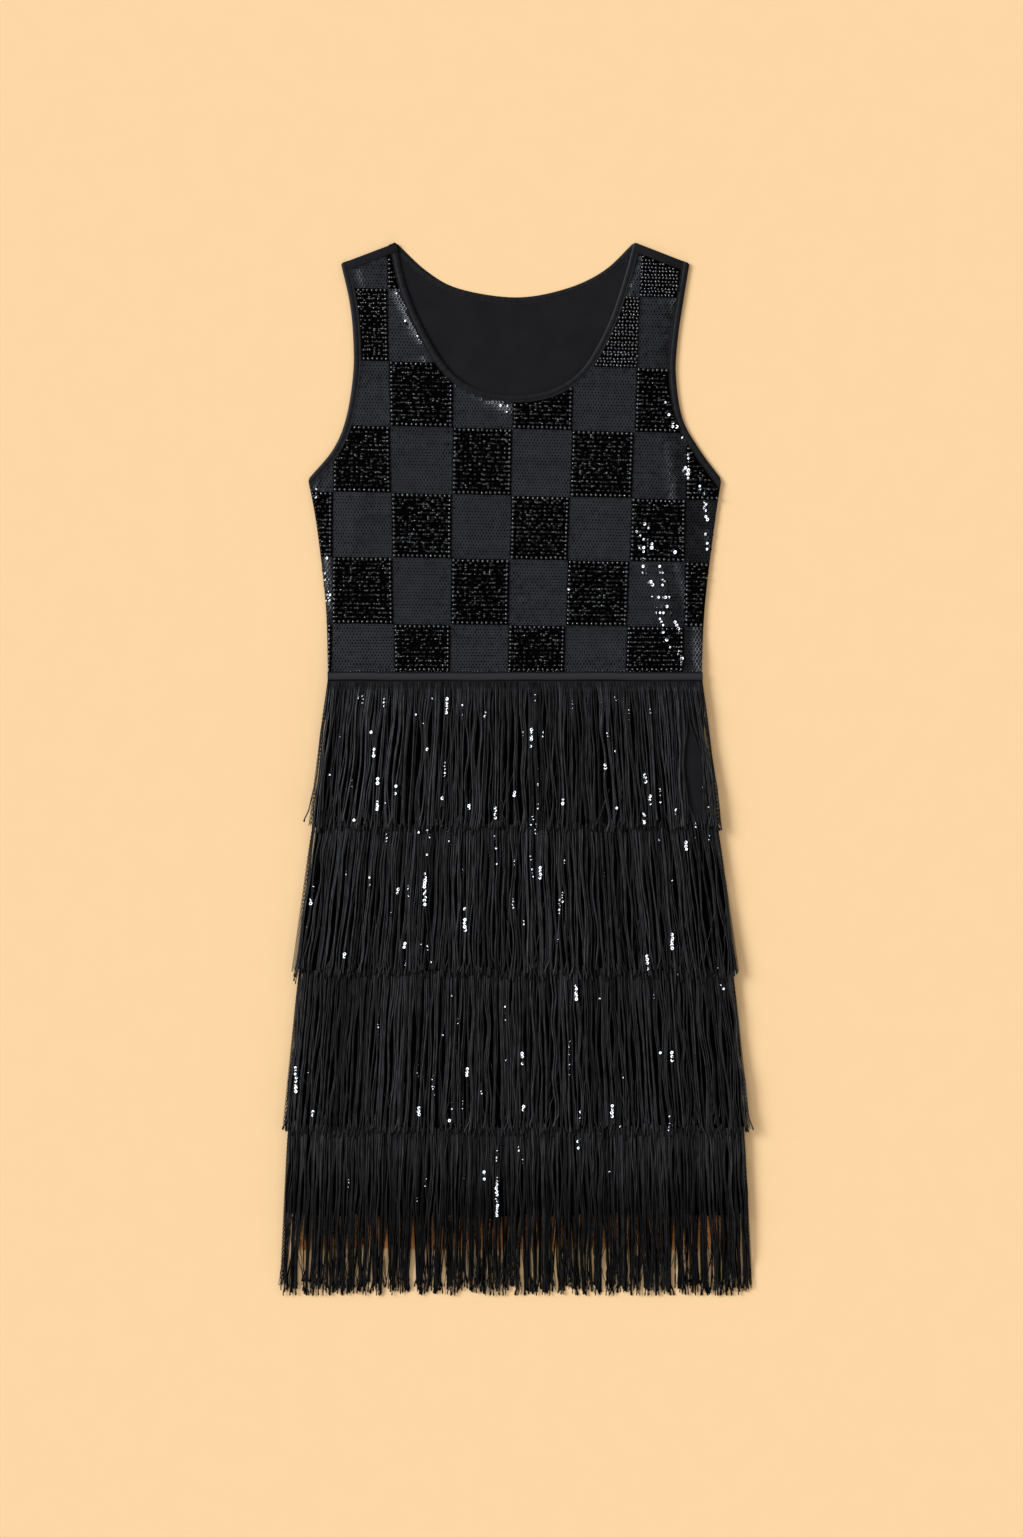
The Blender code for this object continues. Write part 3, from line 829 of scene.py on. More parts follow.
@dataclass(frozen=True)
class Square:
    """One square of the checkerboard, by its numbers and its four corners."""

    column: int
    row: int
    corners: tuple[Vector, Vector, Vector, Vector]

    @property
    def beaded(self) -> bool:
        """Every second square is beaded, and the others carry matt sequins."""
        return (self.column + self.row) % 2 == 0

    def place(self, u: float, v: float) -> Vector:
        """The point at shares u across and v up."""
        a, b, c, d = self.corners
        return a.lerp(b, u).lerp(d.lerp(c, u), v)

    def counts(self, pitch: float, row_pitch: float) -> tuple[int, int]:
        """How many things fit in a row, and how many rows fit in it."""
        foot, _, top = (corner - self.corners[0] for corner in self.corners[1:])
        return max(2, round(foot.length / pitch)), max(2, round(top.length / row_pitch))


@dataclass
class Checkerboard:
    columns: tuple[Border, ...] = rows_of(
        Border, (-184.5, -181), (-121.5, -129.5), (-66, -61), (-8.5, 0), (48, 62), (109, 125.5),
        (167.5, 173))
    rows: tuple[Border, ...] = rows_of(
        Border, (97.8, 97.8), (146, 142.5), (213, 207), (278, 269.5), (345, 336), (410, 400), (483, 471))
    span: float = 188.0
    beyond: float = 62.0

    def column_x(self, border: Border, y: float) -> float:
        """X of a column's border at y."""
        return mix(border.start, border.end, (y - WAIST) / (HALF_LENGTH - WAIST))

    def row_y(self, border: Border, x: float) -> float:
        """Y of a row's border at x."""
        return mix(border.start, border.end, (x + self.span) / (2 * self.span))

    def crossing(self, column: Border, row: Border) -> Vector:
        """Where two borders cross, found in a few steps, since they are nearly square to each other.

        Args:
            column: An upright border.
            row: A level border.

        Returns:
            The point.
        """
        y = row.start
        for _ in range(4):
            x = self.column_x(column, y)
            y = self.row_y(row, x)
        return Vector((x, y))

    def squares(self) -> Iterator[Square]:
        """Every square, with a column and a row beyond the outermost borders."""
        first, last, top = self.columns[0], self.columns[-1], self.rows[-1]
        columns = [Border(first.start - self.beyond, first.end - self.beyond), *self.columns,
                   Border(last.start + self.beyond, last.end + self.beyond)]
        rows = [*self.rows, Border(top.start + self.beyond, top.end + self.beyond)]
        for i, (near, far) in enumerate(zip(columns, columns[1:])):
            for j, (low, high) in enumerate(zip(rows, rows[1:])):
                corners = (self.crossing(near, low), self.crossing(far, low),
                           self.crossing(far, high), self.crossing(near, high))
                yield Square(i, j, corners)

    def is_beaded(self, x: float, y: float) -> bool:
        """Whether a place of the front is in a beaded square."""
        column = sum(1 for border in self.columns if x > self.column_x(border, y))
        row = sum(1 for border in self.rows[1:] if y > self.row_y(border, x))
        return y > self.rows[0].start and (column + row) % 2 == 0


@dataclass(frozen=True)
class Streak:
    """A straight line on the cloth that changes what lies within reach of it."""

    start_x: float
    start_y: float
    end_x: float
    end_y: float
    reach: float

    def near(self, x: float, y: float) -> Pair:
        """Measure a place against the line.

        Args:
            x, y: Place in millimetres.

        Returns:
            The share of the way along the line, from 0 to 1, and the distance from there.
        """
        start = Vector((self.start_x, self.start_y))
        run = Vector((self.end_x, self.end_y)) - start
        offset = Vector((x, y)) - start
        along = min(max(offset.dot(run) / run.length_squared, 0.0), 1.0)
        return along, (offset - run * along).length


@dataclass(frozen=True)
class Crease(Streak):
    """A soft ridge, or a trough where its height is negative, that fades towards its ends."""

    height: float

    def lift(self, x: float, y: float) -> float:
        """How much it lifts the cloth at a place."""
        along, across = self.near(x, y)
        if along in (0.0, 1.0):
            return 0.0
        return self.height * math.exp(-(across / self.reach) ** 2) * math.sin(math.pi * along)


@dataclass(frozen=True)
class Glint(Streak):
    """A streak where a crease turns the sequins to the light.

    Within reach of its line a share of them glint, and around it the others lean that way, as sheen says.
    """

    share: float
    sheen: float = 0.5
    spread: float = 1.7

    def catches(self, x: float, y: float, chance: float) -> bool:
        """Whether a sequin at a place, with its own chance from 0 to 1, glints."""
        return chance < self.share and self.near(x, y)[1] < self.reach

    def lean(self, x: float, y: float) -> float:
        """How far a sequin at a place leans towards the light, from 0 to 1."""
        return self.sheen * math.exp(-(self.near(x, y)[1] / (self.spread * self.reach)) ** 2)


def tilted(normal: Vector, slack: float, dice: Dice) -> Vector:
    """A direction near the normal."""
    return (normal + Vector((dice.gauss(0, slack), dice.gauss(0, slack), 0.0))).normalized()


def towards_light(at: Vector, slack: float, dice: Dice) -> Vector:
    """The way a disc at a place, in millimetres, faces when it glints, within some slack."""
    half = LIGHT_FROM + (CAMERA_AT - at).normalized()
    return tilted(half.normalized(), slack, dice)


def glinting_at(at: Vector, slack: float, sizes: Pair, dice: Dice) -> Place:
    """A cup sequin at a place, in millimetres, of any of these sizes, that faces the light within a slack."""
    size = dice.uniform(*sizes)
    return Place(at, towards_light(at, slack, dice), dice.uniform(*ANY_TURN), size, dice.random())


# --- Small things that are sewn on ---
@dataclass(frozen=True)
class Bead:
    """Something small and round that is drawn out along its thread, with a dimple at each end of it."""

    radius: float = 1.55
    stretch: float = 0.9
    dimple: float = 0.6
    sides: int = 7
    rounded: bool = True

    def model(self) -> Piece:
        """Model it at the origin, its thread along X.

        Returns:
            The master to copy.
        """
        bead = start_from(bpy.ops.mesh.primitive_uv_sphere_add, "bead_master",
                          segments=self.sides, ring_count=4, radius=self.radius * MM)
        pole = self.radius * MM * 0.99
        with editing(bead):
            select_points(bead, lambda co: abs(co.z) > pole)
            bpy.ops.transform.resize(value=(1.0, 1.0, self.dimple))
            bpy.ops.mesh.select_all(action="SELECT")
            bpy.ops.transform.resize(value=(1.0, 1.0, self.stretch))
            bpy.ops.transform.rotate(value=math.pi / 2, orient_axis="Y", center_override=ORIGIN)
        if self.rounded:
            bpy.ops.object.shade_smooth()
        return bead


@dataclass(frozen=True)
class Disc:
    """A sequin: a cupped disc that is closed all round."""

    radius: float = 1.74
    thickness: float = 0.12
    cup: float = 0.12
    sides: int = 7

    def model(self) -> Piece:
        """Model it at the origin, with its rim up and its centre down.

        Returns:
            The master to copy, whose attribute centre is 1 at the thread hole.
        """
        disc = start_from(bpy.ops.mesh.primitive_cone_add, "disc_master", vertices=self.sides,
                          radius1=self.radius * MM, radius2=0.0, depth=(self.cup + self.thickness) * MM,
                          end_fill_type="TRIFAN", rotation=(math.pi, 0.0, 0.0))
        bpy.ops.object.transform_apply(location=True, rotation=True, scale=True)
        centre = self.radius * MM * 0.1
        with editing(disc):
            select_points(disc, lambda co: co.xy.length < centre and co.z > 0)
            bpy.ops.transform.translate(value=(0.0, 0.0, -self.cup * MM))
        store(disc, "centre", [1.0 if v.co.xy.length < centre else 0.0 for v in disc.data.vertices])
        return disc


# --- Bodice ---
@dataclass
class Bodice:
    """Front and back panels, and the beadwork of the front.

    Pitches are from one thing to the next, row shares say how much closer the rows lie, sizes are shares of
    the master's, and a margin is how much cloth there has to be round a place to sew something there.
    """

    board: Checkerboard
    cell: float = 7.0
    sharpest_fold: float = 40.0
    bead_pitch: float = 4.7
    bead_row_share: float = 0.93
    bead_margin: float = 1.2
    bead_sunk: float = 0.6
    inner_sewn: float = 0.5
    border_slack: float = 0.12
    inner_slack: float = 0.24
    row_slant: float = 0.25
    border_sizes: Pair = (0.92, 1.08)
    inner_sizes: Pair = (0.62, 0.95)
    border_polish: Pair = (0.72, 1.0)
    fine_pitch: float = 3.4
    fine_right: float = 60.0
    fine_foot: float = 395.0
    fine_sizes: Pair = (0.85, 1.08)
    fine_polish: Pair = (0.65, 1.0)
    rice_left_out: Pair = (0.25, 0.8)
    rice_lift: Pair = (0.7, 1.5)
    rice_sizes: Pair = (0.75, 1.1)
    disc_pitch: float = 3.3
    disc_row_share: float = 0.92
    disc_margin: float = 0.9
    disc_lift: float = 0.25
    disc_slack: float = 0.08
    turned_lift: float = 0.45
    ring_pitch: float = 3.9
    ring_lift: float = 1.6
    wide_margin: float = 1.6
    lone_ring: float = 0.9985
    seam_y: float = 98.6
    seam_ends: Pair = (-187.0, 186.0)
    seam_pitches: Pair = (3.1, 3.6)
    seam_sewn: float = 0.9
    seam_sizes: Pair = (0.42, 0.6)
    seam_polish: Pair = (0.3, 1.0)
    bead: Bead = Bead()
    rice: Bead = Bead(radius=0.85, stretch=2.1, dimple=0.8)
    disc: Disc = Disc()
    cup: Disc = Disc(radius=1.9, cup=0.08, thickness=0.15, sides=8)
    front_creases: tuple[Crease, ...] = rows_of(
        Crease, (150, 330, 160, 120, 5, -0.5), (172, 300, 175, 130, 5, 0.6), (126, 252, 166, 104, 6, 1),
        (168, 320, 193, 246, 5, 0.7), (-190, 285, -181, 170, 5, 0.5), (-152, 345, -166, 190, 8, 0.6),
        (-123, 482, -92, 428, 5, 0.6), (-54, 386, -12, 362, 5, 0.5), (-40, 330, -52, 128, 14, 0.5),
        (30, 350, 46, 138, 12, 0.4), (92, 300, 84, 120, 10, 0.5), (-95, 300, -100, 112, 11, 0.5),
        (104, 446, 124, 396, 6, 0.6), (150, 520, 146, 460, 8, 0.4))
    back_creases: tuple[Crease, ...] = rows_of(
        Crease, (-150, 330, -120, 210, 9, 0.3), (140, 340, 128, 190, 9, 0.3), (-30, 460, -60, 380, 12, 0.3),
        (60, 440, 40, 300, 14, 0.3), (0, 300, 12, 180, 12, 0.3), (-90, 260, -84, 130, 9, 0.3))
    glints: tuple[Glint, ...] = rows_of(
        Glint, (-122, 478, -106, 446, 3.2, 0.1, 0.72), (-106, 446, -95, 430, 3.6, 0.22, 0.86),
        (-94, 412, -92, 406, 2.4, 0.3, 0.6), (-158, 498, -155, 486, 2.4, 0, 0.56),
        (-51, 385, -46, 380, 2.4, 0.9, 0.7), (-41, 377, -28, 371, 3.4, 0.3, 0.85),
        (-28, 371, -10, 361, 4, 0.24, 0.86), (-66, 386, -40, 384, 2.2, 0.08, 0.6),
        (121, 516, 111, 478, 3, 0.3, 0.7), (134, 508, 160, 476, 12, 0, 0.62),
        (98, 432, 114, 428, 6, 0.05, 0.45), (127, 248, 131, 243, 2.2, 0.9), (119, 239, 126, 235, 2.4, 0.8),
        (130, 230, 134, 226, 2.2, 0.9), (124, 223, 128, 219, 2.4, 0.8), (137, 222, 138, 220, 1.6, 1),
        (127, 211, 129, 197, 2, 0.6), (143, 210, 147, 180, 2.4, 0.55), (133, 189, 136, 185, 2, 0.8),
        (136, 172, 153, 172, 1.7, 0.75), (138, 164, 153, 164, 1.7, 0.8), (140, 157, 154, 157, 1.7, 0.8),
        (144, 149, 148, 144, 2.4, 0.7), (158, 148, 161, 141, 2, 0.9), (147, 137, 149, 131, 2.4, 0.7),
        (157, 122, 163, 111, 2.8, 0.6), (165, 107, 166, 106, 1.6, 1), (150, 322, 155, 266, 4, 0, 0.5),
        (155, 266, 163, 206, 4, 0.02, 0.52), (161, 203, 171, 160, 3.8, 0, 0.56),
        (179, 142, 182, 100, 4.5, 0, 0.66), (161, 468, 154, 411, 1.8, 0.16, 0.4),
        (151, 366, 159, 344, 3.2, 0.5, 0.4), (166, 332, 168, 327, 1.8, 0.9), (171, 314, 171, 311, 1.6, 0.9),
        (169, 299, 172, 291, 3.2, 0.8), (182, 285, 183, 282, 2, 0.9), (185, 280, 189, 270, 2.6, 0.75),
        (190, 264, 191, 250, 2.2, 0.45), (190, 238, 192, 222, 2.2, 0.25),
        (-203, 289, -202, 274, 2.2, 0.3, 0.7), (-190.5, 214, -190, 196, 2.2, 0.2, 0.6),
        (-189.5, 194, -187.5, 163, 2.4, 0.55, 0.7), (-187, 140, -186, 118, 2, 0.12, 0.5))

    def cloth(self, node: str, name: str, creases: tuple[Crease, ...]) -> Piece:
        """A shell on a panel's solid, with its creases.

        Args:
            node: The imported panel.
            name: Name of the new piece.
            creases: Creases to lay into it.

        Returns:
            The shell.
        """
        panel = copy_of_node(node, name)
        cut_into_cells(panel, self.cell)
        for vertex in panel.data.vertices:
            x, y = vertex.co.x / MM, vertex.co.y / MM
            vertex.co.z += sum(crease.lift(x, y) for crease in creases) * MM
        smooth(panel, self.sharpest_fold)
        return panel

    def paint_checks(self, panel: Piece) -> None:
        """Give the beaded squares of the front the second finish."""
        for face in panel.data.polygons:
            face.material_index = int(self.board.is_beaded(face.center.x / MM, face.center.y / MM))

    def is_fine(self, square: Square) -> bool:
        """The squares high on the left strap are filled closely with the smaller beads."""
        middle = square.place(0.5, 0.5)
        return middle.x > self.fine_right and middle.y > self.fine_foot

    def is_turned(self, x: float, y: float, chance: float) -> bool:
        """Whether a sequin at a place, with its own chance, is turned to the light by one of the streaks."""
        return any(glint.catches(x, y, chance) for glint in self.glints)

    @staticmethod
    def polish(y: float, rarity: float, raised: float, dice: Dice) -> float:
        """Polish of a bead: bright ones are rare, and less so high on the straps, where it is raised."""
        return min(1.0, dice.random() ** rarity + raised * ease((y - 375) / 70))

    def bead_places(self, square: Square, cloth: Surface, dice: Dice) -> Iterator[Place]:
        """Round beads: a neat row along the border of a beaded square, and looser ones inside.

        Args:
            square: A beaded square.
            cloth: The front.
            dice: Source of chance.

        Returns:
            Their places, one by one.
        """
        fine = self.is_fine(square)
        pitch = self.fine_pitch if fine else self.bead_pitch
        across, up = square.counts(pitch, pitch if fine else pitch * self.bead_row_share)
        for j in range(up):
            slant = dice.gauss(0, self.row_slant)
            for i in range(across):
                border = i in (0, across - 1) or j in (0, up - 1)
                slack = self.border_slack if border else self.inner_slack
                spot = square.place((i + (0.75 if fine and j % 2 else 0.5)) / across, (j + 0.5) / up)
                x = spot.x + dice.gauss(0, slack)
                y = spot.y + dice.gauss(0, slack) + (0.0 if border else slant)
                sewn = border or fine or dice.random() < self.inner_sewn
                if not sewn or not cloth.holds(x, y, self.bead_margin):
                    continue
                point, normal = cloth.top(x, y)
                size = dice.uniform(*(self.border_sizes if border else self.inner_sizes))
                polish = dice.uniform(*self.border_polish) if border else self.polish(y, 2.0, 0.4, dice)
                if fine:
                    size, polish = dice.uniform(*self.fine_sizes), dice.uniform(*self.fine_polish)
                yield Place(point + normal * self.bead.radius * self.bead_sunk, tilted(normal, 0.2, dice),
                            dice.gauss(0, 0.35), size, polish)

    def rice_places(self, square: Square, cloth: Surface, dice: Dice) -> Iterator[Place]:
        """Long thin beads that lie across between the rows of round ones, one over another here and there.

        Args:
            square: A beaded square.
            cloth: The front.
            dice: Source of chance.

        Returns:
            Their places, one by one.
        """
        across, up = square.counts(self.bead_pitch, self.bead_pitch * self.bead_row_share)
        for j in range(2, 2 * up - 2):
            for i in range(1, across):
                if dice.random() < self.rice_left_out[j % 2] or self.is_fine(square):
                    continue
                u = (i + dice.gauss(0, 0.07)) / across
                spot = square.place(u, (j / 2 + 0.5 + dice.gauss(0, 0.06)) / up)
                if not cloth.holds(spot.x, spot.y, self.wide_margin):
                    continue
                point, normal = cloth.top(spot.x, spot.y)
                at = point + normal * dice.uniform(*self.rice_lift)
                face = normal.lerp(towards_light(at, 0.1, dice), dice.random() ** 3).normalized()
                yield Place(at, face, dice.gauss(0, 0.18), dice.uniform(*self.rice_sizes),
                            self.polish(spot.y, 2.2, 0.3, dice))

    def disc_places(self, square: Square, cloth: Surface, dice: Dice) -> Iterator[tuple[bool, Place]]:
        """Staggered rows of matt sequins over one plain square.

        Args:
            square: A plain square.
            cloth: The front.
            dice: Source of chance.

        Returns:
            Whether each of them glints, and its place.
        """
        across, up = square.counts(self.disc_pitch, self.disc_pitch * self.disc_row_share)
        for j in range(up):
            shift = 0.25 if j % 2 else 0.75
            row_tone = dice.gauss(0, 0.08)
            for i in range(across):
                spot = square.place((i + shift) / across, (j + 0.5) / up)
                x, y = spot.x + dice.gauss(0, self.disc_slack), spot.y + dice.gauss(0, self.disc_slack)
                if not cloth.holds(x, y, self.disc_margin):
                    continue
                point, normal = cloth.top(x, y)
                at = point + normal * self.disc_lift
                if self.is_turned(x, y, dice.random()):
                    sizes = (0.6, 0.95) if x > 100 else (0.4, 0.75)
                    yield True, glinting_at(at + normal * self.turned_lift, 0.09, sizes, dice)
                    continue
                lean = max(glint.lean(x, y) for glint in self.glints)
                face = tilted(normal, 0.03, dice).lerp(towards_light(at, 0.05, dice), lean).normalized()
                # The cloth turns away from the light towards the left side, so the sequins' tone there gets a
                # painted shade.
                shade = 0.72 - 0.6 * ease((x - 128) / 45) + row_tone + dice.gauss(0, 0.2)
                yield False, Place(at + normal * 0.3 * lean, face, dice.uniform(*ANY_TURN), 1.0, shade)

    def ring_places(self, cloth: Surface, dice: Dice) -> Iterator[Place]:
        """Cup sequins among the beads, along the glints and here and there in the beaded squares.

        Args:
            cloth: The front.
            dice: Source of chance.

        Returns:
            Their places, one by one.
        """
        for square in self.board.squares():
            if not square.beaded:
                continue
            across, up = square.counts(self.ring_pitch, self.ring_pitch)
            for j in range(up):
                for i in range(across):
                    spot = square.place((i + 0.5) / across, (j + 0.5) / up)
                    chance = dice.random()
                    shown = self.is_turned(spot.x, spot.y, chance) or chance > self.lone_ring
                    if shown and cloth.holds(spot.x, spot.y, self.wide_margin):
                        point, normal = cloth.top(spot.x, spot.y)
                        sizes = (0.55, 1.0) if spot.x > 100 else (0.45, 0.8)
                        yield glinting_at(point + normal * self.ring_lift, 0.1, sizes, dice)

    def seam_places(self, cloth: Surface, dice: Dice) -> Iterator[Place]:
        """Small beads along the waist seam, and along the right side under the armhole.

        Args:
            cloth: The front.
            dice: Source of chance.

        Returns:
            Their places, one by one.
        """
        waist = [Vector((x, self.seam_y)) for x in self.seam_ends]
        side = smooth_curve([Vector((row.right + 1.6, row.y)) for row in SIDE_SEAM])
        for line, pitch in zip((waist, side), self.seam_pitches):
            for spot in resampled(line, pitch):
                hit = cloth.top(spot.x + dice.gauss(0, 0.15), spot.y + dice.gauss(0, 0.12))
                if hit and dice.random() < self.seam_sewn:
                    point, normal = hit
                    yield Place(point + normal * 0.6, tilted(normal, 0.3, dice), dice.gauss(0, 0.4),
                                dice.uniform(*self.seam_sizes), dice.uniform(*self.seam_polish))

    def build(self) -> tuple[Piece, Piece, list[Piece]]:
        """Make and dress the panels and the beadwork.

        Returns:
            The front, the back and the beadwork.
        """
        front = self.cloth("front_bodice", "front_bodice_cloth", self.front_creases)
        self.paint_checks(front)
        fit(front, "beaded_cloth", Finishes.SLATE_MESH, Finishes.BLACK_MESH, nodes=("front_bodice",))
        back = self.cloth("back_bodice", "back_bodice_cloth", self.back_creases)
        fit(back, "plain_cloth", Finishes.JERSEY, nodes=("back_bodice",))
        cloth = Surface(front)
        work = []
        masters = [thing.model() for thing in (self.bead, self.rice, self.disc, self.cup)]
        bead, rice, disc, cup = masters
        glinting = list(self.ring_places(cloth, random.Random(7)))
        for row in range(len(self.board.rows)):
            dice = random.Random(100 + row)
            beads, grains, discs = [], [], []
            for square in self.board.squares():
                if square.row == row and square.beaded:
                    beads.extend(self.bead_places(square, cloth, dice))
                    grains.extend(self.rice_places(square, cloth, dice))
                elif square.row == row:
                    for glints, place in self.disc_places(square, cloth, dice):
                        (glinting if glints else discs).append(place)
            for name, master, places, slot, finish in (
                    ("bead_row", bead, beads, "beads", Finishes.BEAD),
                    ("rice_bead_row", rice, grains, "beads", Finishes.BEAD),
                    ("matt_sequin_row", disc, discs, "sequins", Finishes.MATT_SEQUIN)):
                work.append(fit(scatter(f"{name}_{row + 1}", master, places), slot, finish))
        work.append(fit(scatter("bodice_cup_sequins", cup, glinting), "sequins", Finishes.CUP_SEQUIN))
        seam = list(self.seam_places(cloth, random.Random(9)))
        work.append(fit(scatter("seam_beads", bead, seam), "beads", Finishes.BEAD))
        remove(*masters)
        return front, back, work


# --- Bindings ---
@dataclass
class Bindings:
    """Folded satin bands round the neck and the armholes, with a row of topstitching on each.

    The profile is across and up, its underside first.  The back's bands lie pressed.
    """

    pitch: float = 3.0
    pressed: float = 0.75
    sharpest_fold: float = 50.0
    stitch_pitch: float = 2.9
    stitch_inset: float = 1.5
    stitch_lift: float = 0.12
    run_outs: tuple[float, ...] = (9.0, 5.0, 2.0)
    trim_reach: float = 14.0
    stitch: Bead = Bead(radius=0.24, stretch=2.0 / 0.48, dimple=1.0, sides=5, rounded=False)
    profile: tuple[tuple[float, float], ...] = (
        (-3.5, 0.3), (-3.0, 0.0), (3.0, 0.0), (3.5, 0.3), (3.5, 1.42), (4.2, 1.5), (4.1, 1.66), (2.9, 1.74),
        (2.3, 1.66), (2.0, 1.5), (1.6, 1.75), (0.0, 2.0), (-1.6, 1.9), (-2.9, 1.5), (-3.5, 0.9))

    def band(self, node: str, edge: list[Vector], inward: float, thin: float) -> tuple[Piece, list[Place]]:
        """One band and the places of its stitches.

        Args:
            node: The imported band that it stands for.
            edge: The outline's edge.
            inward: 1 where the cloth is on the left of the edge's direction, and -1 on the right.
            thin: Scale of its thickness.

        Returns:
            The band and a list of places.
        """
        solid = Surface(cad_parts[node])
        line = moved_left(resampled(edge, self.pitch), inward * BINDING_WIDTH / 2)
        middle = line[len(line) // 2]
        level = max(0.0, solid.top(middle.x, middle.y)[0].z)
        thickness = max(up for _, up in self.profile) * thin
        route = []
        for point in line:
            hit = solid.top(point.x, point.y)
            level = hit[0].z if hit else level
            route.append((point.x, point.y, level - thickness, 1.0))
        route = self.run_out(route)
        piece = sweep(node.replace("binding", "satin_band"), [route],
                      [(-inward * across, up * thin) for across, up in self.profile])
        self.trim(piece, "armhole" in node)
        stations = KDTree(len(route))
        for i, (x, y, z, _) in enumerate(route):
            stations.insert((x * MM, y * MM, z * MM), i)
        stations.balance()
        store(piece, "along", [stations.find(v.co)[1] * self.pitch * MM for v in piece.data.vertices])
        smooth(piece, self.sharpest_fold)

        seam = moved_left(resampled(edge, self.stitch_pitch), inward * (BINDING_WIDTH - self.stitch_inset))
        places = []
        top = Surface(piece)
        for a, b in zip(seam, seam[1:]):
            hit = top.top(*((a + b) / 2))
            if hit:
                turn = math.atan2(b.y - a.y, b.x - a.x)
                places.append(Place(hit[0] + UP * self.stitch_lift, UP, turn))
        return piece, places

    def run_out(self, route: Route) -> Route:
        """Lead a route on past both its ends, to be trimmed there.

        Args:
            route: The band's own route.

        Returns:
            The longer route.
        """
        longer = []
        for (x, y, z, _), after in ((route[0], route[1]), (route[-1], route[-2])):
            out = (Vector((x, y)) - Vector(after[:2])).normalized()
            longer.append([(x + out.x * step, y + out.y * step, z, 1.0) for step in self.run_outs])
        return longer[0] + route + longer[1][::-1]

    def trim(self, piece: Piece, armhole: bool) -> None:
        """Cut a band off along the shoulders, and along the side under the armhole, with rounded corners.

        Args:
            piece: The band.
            armhole: Whether it runs round an armhole, and not round the neck.
        """
        for side, way in (("right", -1), ("left", 1)):
            if not any(way * vertex.co.x > 0.05 for vertex in piece.data.vertices):
                continue
            outer, inner = shoulder(side)
            up = square_to((outer - inner).normalized(), Vector((0, 1)))
            corner = outer if armhole else inner
            past = Vector((way, 0.12)) if armhole else Vector((-way, 0.55))
            cuts = [(corner, up), (corner, (up + past.normalized()).normalized())]
            if armhole:
                foot, armpit = (row.at(side) for row in SIDE_SEAM[-2:])
                out = square_to((armpit - foot).normalized(), Vector((way, 0)))
                edge = square_to((ARMHOLE[1].at(side) - armpit).normalized(), Vector((way, 0)))
                cuts += [(armpit, out), (armpit, (out + edge).normalized())]
            for i, (corner, facing) in enumerate(cuts):
                at = corner - facing * (CORNER_CUT if i % 2 else 0.0)
                with editing(piece):
                    select_points(piece, lambda co: (co.xy / MM - corner).length < self.trim_reach)
                    bpy.ops.mesh.bisect(plane_co=(at.x * MM, at.y * MM, 0.0), plane_no=(*facing, 0.0),
                                        clear_outer=True, use_fill=True)

    def build(self) -> list[Piece]:
        """Make and dress all six bands.

        Returns:
            The bands, and their stitches as one piece.
        """
        runs = [("front_neck_binding", neck_line(FRONT_NECK), -1.0, 1.0),
                ("back_neck_binding", neck_line(BACK_NECK), -1.0, self.pressed)]
        for side, inward in (("right", -1.0), ("left", 1.0)):
            edge = side_line(ARMHOLE, side)
            runs.append((f"{side}_armhole_binding_front", edge, inward, 1.0))
            runs.append((f"{side}_armhole_binding_back", edge, inward, self.pressed))
        made, stitches = [], []
        for node, *shape in runs:
            piece, places = self.band(node, *shape)
            made.append(fit(piece, "binding", Finishes.SATIN, nodes=(node,)))
            stitches.extend(places)
        master = self.stitch.model()
        made.append(fit(scatter("binding_stitches", master, stitches), "binding", Finishes.THREAD))
        remove(master)
        return made


@dataclass
class ShoulderBands:
    """Plain cloth turned over each shoulder, from the armhole's band over the end of the neck's."""

    over: float = 7.4
    under: float = 0.5
    rise: float = 1.0
    edge_round: float = 0.35
    sharpest_fold: float = 50.0

    def build(self) -> list[Piece]:
        """Stretch a copy of each node along its seam, over the end of the neck's band, and round its edges.

        Returns:
            Both bands.
        """
        made = []
        for side in ("left", "right"):
            node = f"{side}_shoulder_band"
            band = copy_of_node(node, f"{side}_shoulder_cloth")
            outer, inner = shoulder(side)
            along = (inner - outer).normalized()
            reach = [(vertex.co.xy / MM - outer).dot(along) for vertex in band.data.vertices]
            low, high = min(reach), max(reach)
            middle = sum(vertex.co.z for vertex in band.data.vertices) / len(reach)
            for vertex, place in zip(band.data.vertices, reach):
                share = (place - low) / (high - low)
                moved = mix(-self.under, min(self.over, (inner - outer).length - high), share)
                vertex.co.xy += along * moved * MM
                if vertex.co.z > middle:
                    vertex.co.z += self.rise * share * MM
            facing = (square_to(along, Vector((0, 1))) + along).normalized()
            corner = inner - facing * CORNER_CUT
            with editing(band):
                bpy.ops.mesh.bisect(plane_co=(corner.x * MM, corner.y * MM, 0.0), plane_no=(*facing, 0.0),
                                    clear_outer=True, use_fill=True)
            shape_with(band, "BEVEL", width=self.edge_round * MM, segments=2, limit_method="ANGLE")
            smooth(band, self.sharpest_fold)
            made.append(fit(band, "plain_cloth", Finishes.JERSEY, nodes=(node,)))
        return made


